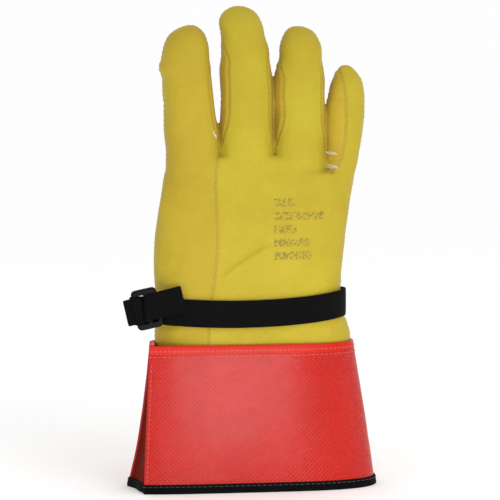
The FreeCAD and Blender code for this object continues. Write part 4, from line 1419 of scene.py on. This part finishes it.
def cuffLine(z, part, count, out=0.0):
    # points round one part of the cuff at a height, evenly spaced, moved outwards
    half, right, left, corner = curveThrough(cuffRows, z)[0]
    if part == "front":
        x = np.concatenate([np.linspace(corner, 0, 60)[:-1], right * np.sin(np.linspace(0, math.pi / 2, 90))])
        reach = np.where(x < 0, abs(corner) / 0.70, right)
        y = -half * np.sqrt(np.clip(1 - np.abs(x / reach) ** 4, 0, 1))
    elif part == "palm":
        reach = abs(left) / 0.973
        x = np.concatenate([right * np.sin(np.linspace(math.pi / 2, 0, 90)),
                            -np.linspace(0, 1, 90)[1:] ** 0.7 * abs(left)])
        y = half * np.sqrt(np.clip(1 - np.abs(x / np.where(x < 0, reach, right)) ** 4, 0, 1))
    else:
        startY = half * math.sqrt(1 - 0.973 ** 4)
        frontY = -half * math.sqrt(1 - 0.70 ** 4)
        t = np.linspace(0, 1, 60)
        inX, inY = corner + 2.2, frontY + 2.4
        fold = (np.sin(math.pi * t) * 1.6 + 0.9 * np.sin(math.pi * 2 * t)) * (1 - 0.85 * softStep(z, 35, 75))
        x = left + 1.0 + (inX - left - 1.0) * t ** 1.6 + fold
        y = startY - 1.2 + (inY - startY + 1.2) * t
    line = np.stack([x, y], 1)
    steps = np.concatenate([[0], np.cumsum(np.linalg.norm(np.diff(line, axis=0), axis=1))])
    at = np.linspace(0, steps[-1], count)
    line = np.stack([np.interp(at, steps, line[:, 0]), np.interp(at, steps, line[:, 1])], 1)
    if out:
        run = np.gradient(line, axis=0)
        run /= np.linalg.norm(run, axis=1)[:, None]
        line = line + np.stack([run[:, 1], -run[:, 0]], 1) * out
    return line, steps[-1]


def emboss(u, v):
    # diamond lattice of raised threads
    turn = 2 * math.pi / cuffSizes["weavePitch"]
    return np.maximum((0.5 + 0.5 * np.cos(turn * (u + v))) ** 2, (0.5 + 0.5 * np.cos(turn * (u - v))) ** 2)


def cuffSheet(name, part, low, high, waves, cell):
    # a sheet of real thickness: outside with its emboss, inside, and edges all round
    length = cuffLine(45, part, 200)[1]
    columns = int(round(length / cell)) + 1
    rows = int(round((high - low) / cell)) + 1
    heights = np.linspace(low, high, rows)
    u = np.arange(columns) * cell
    outside = []
    for z in heights:
        line = cuffLine(z, part, columns)[0]
        outside.append(np.column_stack([line, np.full(columns, z)]))
    outside = np.array(outside)
    alongLine = np.gradient(outside, axis=1)
    upLine = np.gradient(outside, axis=0)
    normal = np.cross(alongLine, upLine)
    normal /= np.linalg.norm(normal, axis=2)[..., None]
    flatPoints = outside.reshape(-1, 3)
    soft = (hideNoise(flatPoints * (1, 1, 0.6), 34, 11) * waves
            + hideNoise(flatPoints, 12, 17) * waves * 0.2)
    raised = emboss(u[None, :], heights[:, None])
    edgeFade = softStep(heights, low, low + 8)[:, None] * (1 - softStep(heights, high - 9, high))[:, None]
    lift = soft.reshape(rows, columns) * edgeFade + raised * cuffSizes["relief"] * (0.25 + 0.75 * edgeFade)
    top = outside + normal * lift[..., None]
    inner = outside + normal * (soft.reshape(rows, columns) * edgeFade - cuffSizes["thickness"])[..., None]
    total = rows * columns
    faces = ringFaces(rows, columns, closed=False)
    back = [tuple(i + total for i in reversed(f)) for f in faces]
    border = (list(range(columns)) + [r * columns + columns - 1 for r in range(1, rows)]
              + [(rows - 1) * columns + i for i in range(columns - 2, -1, -1)]
              + [r * columns for r in range(rows - 2, 0, -1)])
    rim = [(border[(i + 1) % len(border)], border[i], border[i] + total,
            border[(i + 1) % len(border)] + total)
           for i in range(len(border))]
    made = makeObject(name, toFrame(np.vstack([top.reshape(-1, 3), inner.reshape(-1, 3)])),
                      faces + back + rim)
    mesh = made.data
    sharp = np.ones(len(mesh.polygons), bool)
    sharp[-len(rim):] = False
    mesh.polygons.foreach_set("use_smooth", sharp)
    addTape(mesh, np.concatenate([np.tile(u, rows)] * 2), np.concatenate([np.repeat(heights, columns)] * 2))
    return made, (length, high - low)


def addTape(mesh, u, v):
    # a UV map in millimetres along and across the cloth
    layer = mesh.uv_layers.new(name="tape")
    loopVertex = np.empty(len(mesh.loops), int)
    mesh.loops.foreach_get("vertex_index", loopVertex)
    layer.data.foreach_set("uv", np.column_stack([u[loopVertex], v[loopVertex]]).astype(np.float32).ravel())


cell = cuffSizes["weavePitch"] / 4
cuffFront, frontFlat = cuffSheet("cuffFront", "front", 0.9, cuffSizes["height"], 0.5, cell)
cuffPalm, palmFlat = cuffSheet("cuffPalm", "palm", 0.9, cuffSizes["height"], 0.6, cell)
cuffGusset, gussetFlat = cuffSheet("cuffGusset", "gusset", 0.9, cuffSizes["height"] - 1.0, 0.5, cell)
finish(cuffFront, "hand", redCloth, ("cuff_back_panel",))
finish(cuffPalm, "hand", redCloth, ("cuff_palm_panel",))
# the gusset's dark cloth is painted shade
finish(cuffGusset, "hand", gussetShadedCloth, ("cuff_side_gusset",))


def aroundCuff(z, out, count=520):
    # closed line round the whole cuff, outside the front sheet's corner
    front = cuffLine(z, "front", 230, out)[0]
    palm = cuffLine(z, "palm", 210, out)[0]
    gusset = cuffLine(z, "gusset", 60, out)[0][4:-5]
    line = np.vstack([front, palm[1:], gusset])
    closed = np.vstack([line, line[:1]])
    steps = np.concatenate([[0], np.cumsum(np.linalg.norm(np.diff(closed, axis=0), axis=1))])
    at = np.linspace(0, steps[-1], count, endpoint=False)
    return np.column_stack([np.interp(at, steps, closed[:, 0]), np.interp(at, steps, closed[:, 1]),
                            np.full(count, float(z))]), steps[-1]


def bandAround(name, section, ripple, seed):
    # a folded band: a closed section of (outwards, height) carried round the cuff
    rings = []
    count = 900
    for out, z in section:
        ring, total = aroundCuff(z, out, count)
        for turn in range(3):
            ring[:, :2] = (np.roll(ring[:, :2], 1, 0) + 2 * ring[:, :2] + np.roll(ring[:, :2], -1, 0)) / 4
        rings.append(ring)
    points = np.array(rings)
    flat = points.reshape(-1, 3)
    outward = flat.copy()
    outward[:, 2] = 0
    outward /= np.linalg.norm(outward, axis=1)[:, None]
    flat = flat + outward * (hideNoise(flat, 9, seed) * ripple)[:, None]
    flat[:, 2] = np.maximum(flat[:, 2], 0)
    faces = ringFaces(len(section), count)
    last = (len(section) - 1) * count
    faces += [(last + k, last + (k + 1) % count, (k + 1) % count, k) for k in range(count)]
    made = cleanNormals(makeObject(name, toFrame(flat), faces))
    u = np.tile(np.arange(count) * total / count, len(section))
    v = np.repeat(np.linspace(0, 2 * cuffSizes["hemHeight"], len(section)), count)
    if len(made.data.vertices) == len(u):
        addTape(made.data, u, v)
    return made


hem = cuffSizes["hemHeight"]
tapeSection = [(0.55, hem), (0.95, hem - 0.5), (1.05, hem * 0.5), (1.05, 1.1), (0.85, 0.35), (0.3, 0.0),
               (-1.5, 0.0),
               (-2.1, 0.35), (-2.3, 1.1), (-2.3, hem * 0.5), (-2.2, hem - 0.7), (-1.8, hem - 0.2),
               (-1.35, hem - 0.5),
               (-1.3, hem * 0.5), (-1.2, 1.0), (-0.6, 0.8), (0.1, 1.0), (0.2, hem * 0.5), (0.2, hem - 0.5)]
hemBinding = bandAround("hemBinding", tapeSection, 0.10, 21)
finish(hemBinding, "hand", hemTape, ("cuff_hem_binding",))
top = cuffSizes["height"]
rimSection = [(0.16, top - 5.3), (0.24, top - 5.0), (0.26, top - 3), (0.24, top - 0.4), (0.0, top + 0.2),
              (-0.5, top + 0.4),
              (-1.2, top + 0.3), (-1.7, top - 0.3), (-1.8, top - 3), (-1.75, top - 6.6), (-1.4, top - 7.0),
              (-1.22, top - 6.6),
              (-1.2, top - 3), (-1.0, top - 0.5), (-0.6, top - 0.3), (-0.1, top - 0.5), (0.05, top - 3),
              (0.06, top - 5.0)]
rimHem = bandAround("rimHem", rimSection, 0.05, 23)
finish(rimHem, "hand", rimCloth, ("cuff_rim_hem",))
print("cuff made")


def openRun(z, part, out, fromShare=0.0, toShare=1.0):
    line = cuffLine(z, part, 240, out)[0]
    keep = line[int(fromShare * 239):int(toShare * 239) + 1]
    return np.column_stack([keep, np.full(len(keep), float(z))])


redSewing = {"Pitch": 3.0, "Length": 2.3, "Thickness": 0.55, "Wander": 0.05}
rimRuns = [openRun(top - drop, part, out, 0.006, 0.994) for drop, out in ((3.0, 0.42), (6.6, 0.28))
           for part in ("front", "palm")]
sewRow("rimStitches", rimRuns, redSewing, threadRed, "hand")
edgeRun = [np.column_stack([np.array([cuffLine(z, "front", 240, 0.28)[0][3] for z in np.arange(8, 82, 2)]),
                            np.arange(8, 82, 2)])]
sewRow("sheetEdgeStitches", edgeRun, redSewing, threadRed, "hand")
sewRow("hemStitches", [openRun(hem - 1.4, part, 1.15, 0.006, 0.994) for part in ("front", "palm")],
       {"Pitch": 3.4, "Length": 2.6, "Thickness": 0.5, "Wander": 0.05}, threadBlack, "hand")


# strap webbing, loop and buckle

strapSizes = dict(width=17.0, thickness=1.4, lift=0.35)


def strapHeight(x):
    return curveThrough(((-62, 114.2), (-50, 113.4), (-40, 112.9), (-10, 112), (20, 113), (45, 115.4),
                         (62, 117.8)), x)[:, 0]


def handLine(z, out, count=400):
    # the hand's outline at a height, anticlockwise seen from above, starting on the thumb side
    left, right, depth = curveThrough(handRows, z)[0]
    a = np.linspace(math.pi, -math.pi, count, endpoint=False)
    c, s = np.cos(a), np.sin(a)
    x = (left + right) / 2 + np.sign(c) * np.abs(c) ** (2 / 4.2) * (right - left) / 2
    line = np.stack([x, s * depth / 2], 1)
    run = np.roll(line, -1, 0) - np.roll(line, 1, 0)
    run /= np.linalg.norm(run, axis=1)[:, None]
    return line + np.stack([-run[:, 1], run[:, 0]], 1) * out


def evenly(points, step):
    points = np.array(points, float)
    steps = np.concatenate([[0], np.cumsum(np.linalg.norm(np.diff(points, axis=0), axis=1))])
    at = np.linspace(0, steps[-1], max(3, int(steps[-1] / step) + 1))
    return np.stack([np.interp(at, steps, points[:, k]) for k in range(3)], 1), at


def rounded(points, turns):
    # softens the corners of a run and keeps its ends
    points = np.array(points, float)
    for turn in range(turns):
        points[1:-1] = (points[:-2] + 2 * points[1:-1] + points[2:]) / 4
    return points


def webbing(name, path, width, thickness, up=(0, 0, 1), step=0.8, softness=6, ripple=0.12, seed=1):
    # flat woven webbing with soft edges, carried along a path
    path, at = evenly(path, step)
    path = rounded(path, softness)
    run = np.gradient(path, axis=0)
    run /= np.linalg.norm(run, axis=1)[:, None]
    up = np.broadcast_to(np.array(up, float), path.shape)
    face = np.cross(run, up)
    face /= np.linalg.norm(face, axis=1)[:, None]
    side = np.cross(face, run)
    h, w = thickness / 2, width / 2
    across = np.linspace(-1, 1, 15)
    selvedge = 1 - 0.30 * softStep(np.abs(across), 0.93, 1.0) - 0.06 * (np.abs(np.abs(across) - 0.86) < 0.04)
    section = [(a * w, h * s) for a, s in zip(across, selvedge)] + [(w * 1.012, 0)]
    section += [(a * w, -h * s) for a, s in zip(across[::-1], selvedge[::-1])] + [(-w * 1.012, 0)]
    section = np.array(section)
    points = path[:, None, :] + side[:, None, :] * section[None, :, :1] + face[:, None, :] * section[None, :,
                                                                                                     1:]
    flat = points.reshape(-1, 3)
    push = hideNoise(flat, 16, seed) * ripple
    flat = flat + np.repeat(face, len(section), 0) * push[:, None]
    count = len(section)
    faces = ringFaces(len(path), count)
    faces += [tuple(range(count))[::-1], tuple(range((len(path) - 1) * count, len(path) * count))]
    made = makeObject(name, toFrame(flat), faces)
    v = np.tile(section[:, 0], len(path))
    addTape(made.data, np.repeat(at, count), v)
    bm = bmesh.new()
    bm.from_mesh(made.data)
    bmesh.ops.recalc_face_normals(bm, faces=bm.faces)
    bm.to_mesh(made.data)
    bm.free()
    return made


lift = strapSizes["lift"] + strapSizes["thickness"] / 2
ringLine = handLine(115, lift)
start = int(np.argmin(np.hypot(ringLine[:, 0] + 61.5, ringLine[:, 1] + 7)))
ringLine = np.roll(ringLine, -start, 0)
if ringLine[12, 1] < ringLine[0, 1]:
    ringLine = np.roll(ringLine[::-1], 1, 0)
frontEnd = int(np.flatnonzero((ringLine[:, 0] < -46) & (ringLine[:, 1] < -8))[0])
ringLine = ringLine[:frontEnd]
backHeight = 116 + 0.025 * ringLine[:, 0]
share = softStep(ringLine[:, 1], -8, 12)
heights = strapHeight(ringLine[:, 0]) * (1 - share) + backHeight * share
ringPath = np.column_stack([ringLine, heights])
wristStrap = webbing("wristStrap", ringPath, strapSizes["width"], strapSizes["thickness"], seed=31)
finish(wristStrap, "hand", strapWeave, ("wrist_strap",))

frontY = ringPath[-1][1]
barX, barY, barZ = barPoint[0] - originAcross, barPoint[1] - handMiddle, barPoint[2]
runPath = [(ringPath[-1][0] + 1.2, frontY, ringPath[-1][2] - 0.05), (barX + 25, frontY - 0.1, 113.4),
           (barX + 20, frontY - 0.4, 113.9), (barX + 16.5, frontY + 1.2, 114.5),
           (barX + 13.4, barY + 2.6, 115.2),
           (barX + 10.6, barY + 1.4, 116.2), (barX + 8.6, barY - 1.6, 116.6), (barX + 6.8, barY - 2.3, 116.6),
           (barX + 5.1, barY - 1.6, 116.4), (barX + 4.9, barY + 0.4, 116.2), (barX + 5.4, barY + 2.6, 116.0)]
strapRun = webbing("strapRun", runPath, strapSizes["width"] - 0.3, strapSizes["thickness"], step=0.6,
                   softness=3,
                   seed=33)
finish(strapRun, None, strapWeave,
       bend=("hand", "buckle", tuple(toFrame((-50, 0, 114))[0]), tuple(toFrame((-60, 0, 114))[0])))

tiltTail = math.radians(13)
tailX, tailDepth = tailPoint[0] - originAcross, frontY - 2.0
tailPath = []
for distance, out in ((-11.6, 0.9), (-9.0, -0.6), (-5.5, -1.2), (-2, -1.35), (1, -1.3), (4, -1.0), (8, -0.6),
                      (12.2, -0.2)):
    tailPath.append((tailX + 0.3 + distance * math.cos(tiltTail), tailDepth + out,
                     tailPoint[2] - 0.2 + distance * math.sin(tiltTail)))
tailUp = (-math.sin(tiltTail), 0, math.cos(tiltTail))
strapTail = webbing("strapTail", tailPath, strapSizes["width"] - 0.4, strapSizes["thickness"], up=tailUp,
                    softness=4, seed=35)
finish(strapTail, None, strapWeave, ("strap_tail",),
       bend=("buckle", "strap_end", tuple(toFrame((tailX - 2, 0, 119))[0]),
             tuple(toFrame((tailX + 3, 0, 119))[0])))

# doubled webbing from the wrist round the left bar and back, and its sewn end
leanLoop = math.radians(-12)
loopUp = (math.sin(leanLoop), 0, math.cos(leanLoop))
legAngle = math.radians(42)
wrap = 1.6 + 0.25 + strapSizes["thickness"] / 2
legOut = []
for turn in np.linspace(-0.5 * math.pi, -1.5 * math.pi, 13):
    a = turn + legAngle
    legOut.append((barX + wrap * math.cos(a), barY + wrap * math.sin(a), barZ))
legEnd = np.array((barX + 15.6 * math.cos(legAngle), barY + 15.6 * math.sin(legAngle), barZ - 0.4))
sideways = np.array((math.sin(legAngle), -math.cos(legAngle), 0))
legPath = [legEnd + sideways * 0.75, legEnd + sideways * 0.9 + (-3, -3, 0)] + legOut
legPath += [legEnd - sideways * 0.9 + (-3, -3, 0), legEnd - sideways * 0.75]
loopLeg = webbing("loopLeg", legPath, strapSizes["width"] + 0.5, strapSizes["thickness"], up=loopUp,
                             softness=3, step=0.6, ripple=0.05, seed=37)
tabLean = math.radians(-13)
tabUp = (math.sin(tabLean), 0, math.cos(tabLean))
tabPath = []
for reach, out in ((-0.6, -1.5), (1.6, -1.1), (3.2, -0.8), (5.4, -0.76), (6.3, -0.5), (6.6, 0), (6.3, 0.5),
                   (5.4, 0.76),
                   (3.2, 0.8), (1.6, 1.1), (-0.6, 1.5)):
    tabPath.append((barX - reach * math.cos(tabLean), barY + out, barZ + reach * math.sin(tabLean)))
loopTab = webbing("loopTab", tabPath, strapSizes["width"] - 0.8, strapSizes["thickness"], up=tabUp,
                             softness=1, step=0.5, ripple=0.05, seed=39)
finish(loopLeg, "hand", strapWeave, ("buckle_anchor_loop",))
finish(loopTab, "hand", strapWeave)

# the ladder-lock frame: the CAD solid with its edges rounded as if moulded
buckleSizes = dict(voxel=0.33, smoothing=5)
source = frame["nodes"]["buckle_frame"]
buckleMesh = source.data.copy()
buckle = bpy.data.objects.new("buckleFrame", buckleMesh)
bpy.context.scene.collection.objects.link(buckle)
moulding = buckle.modifiers.new("moulded", "REMESH")
moulding.mode = "VOXEL"
moulding.voxel_size = buckleSizes["voxel"] * mm
bakeModifiers(buckle)
bm = bmesh.new()
bm.from_mesh(buckle.data)
for turn in range(buckleSizes["smoothing"]):
    bmesh.ops.smooth_vert(bm, verts=bm.verts, factor=0.5, use_axis_x=True, use_axis_y=True, use_axis_z=True)
bm.to_mesh(buckle.data)
bm.free()
buckle.data.polygons.foreach_set("use_smooth", np.ones(len(buckle.data.polygons), bool))
finish(buckle, "buckle", nylonBlack, ("buckle_frame",))
print("strap and buckle made")
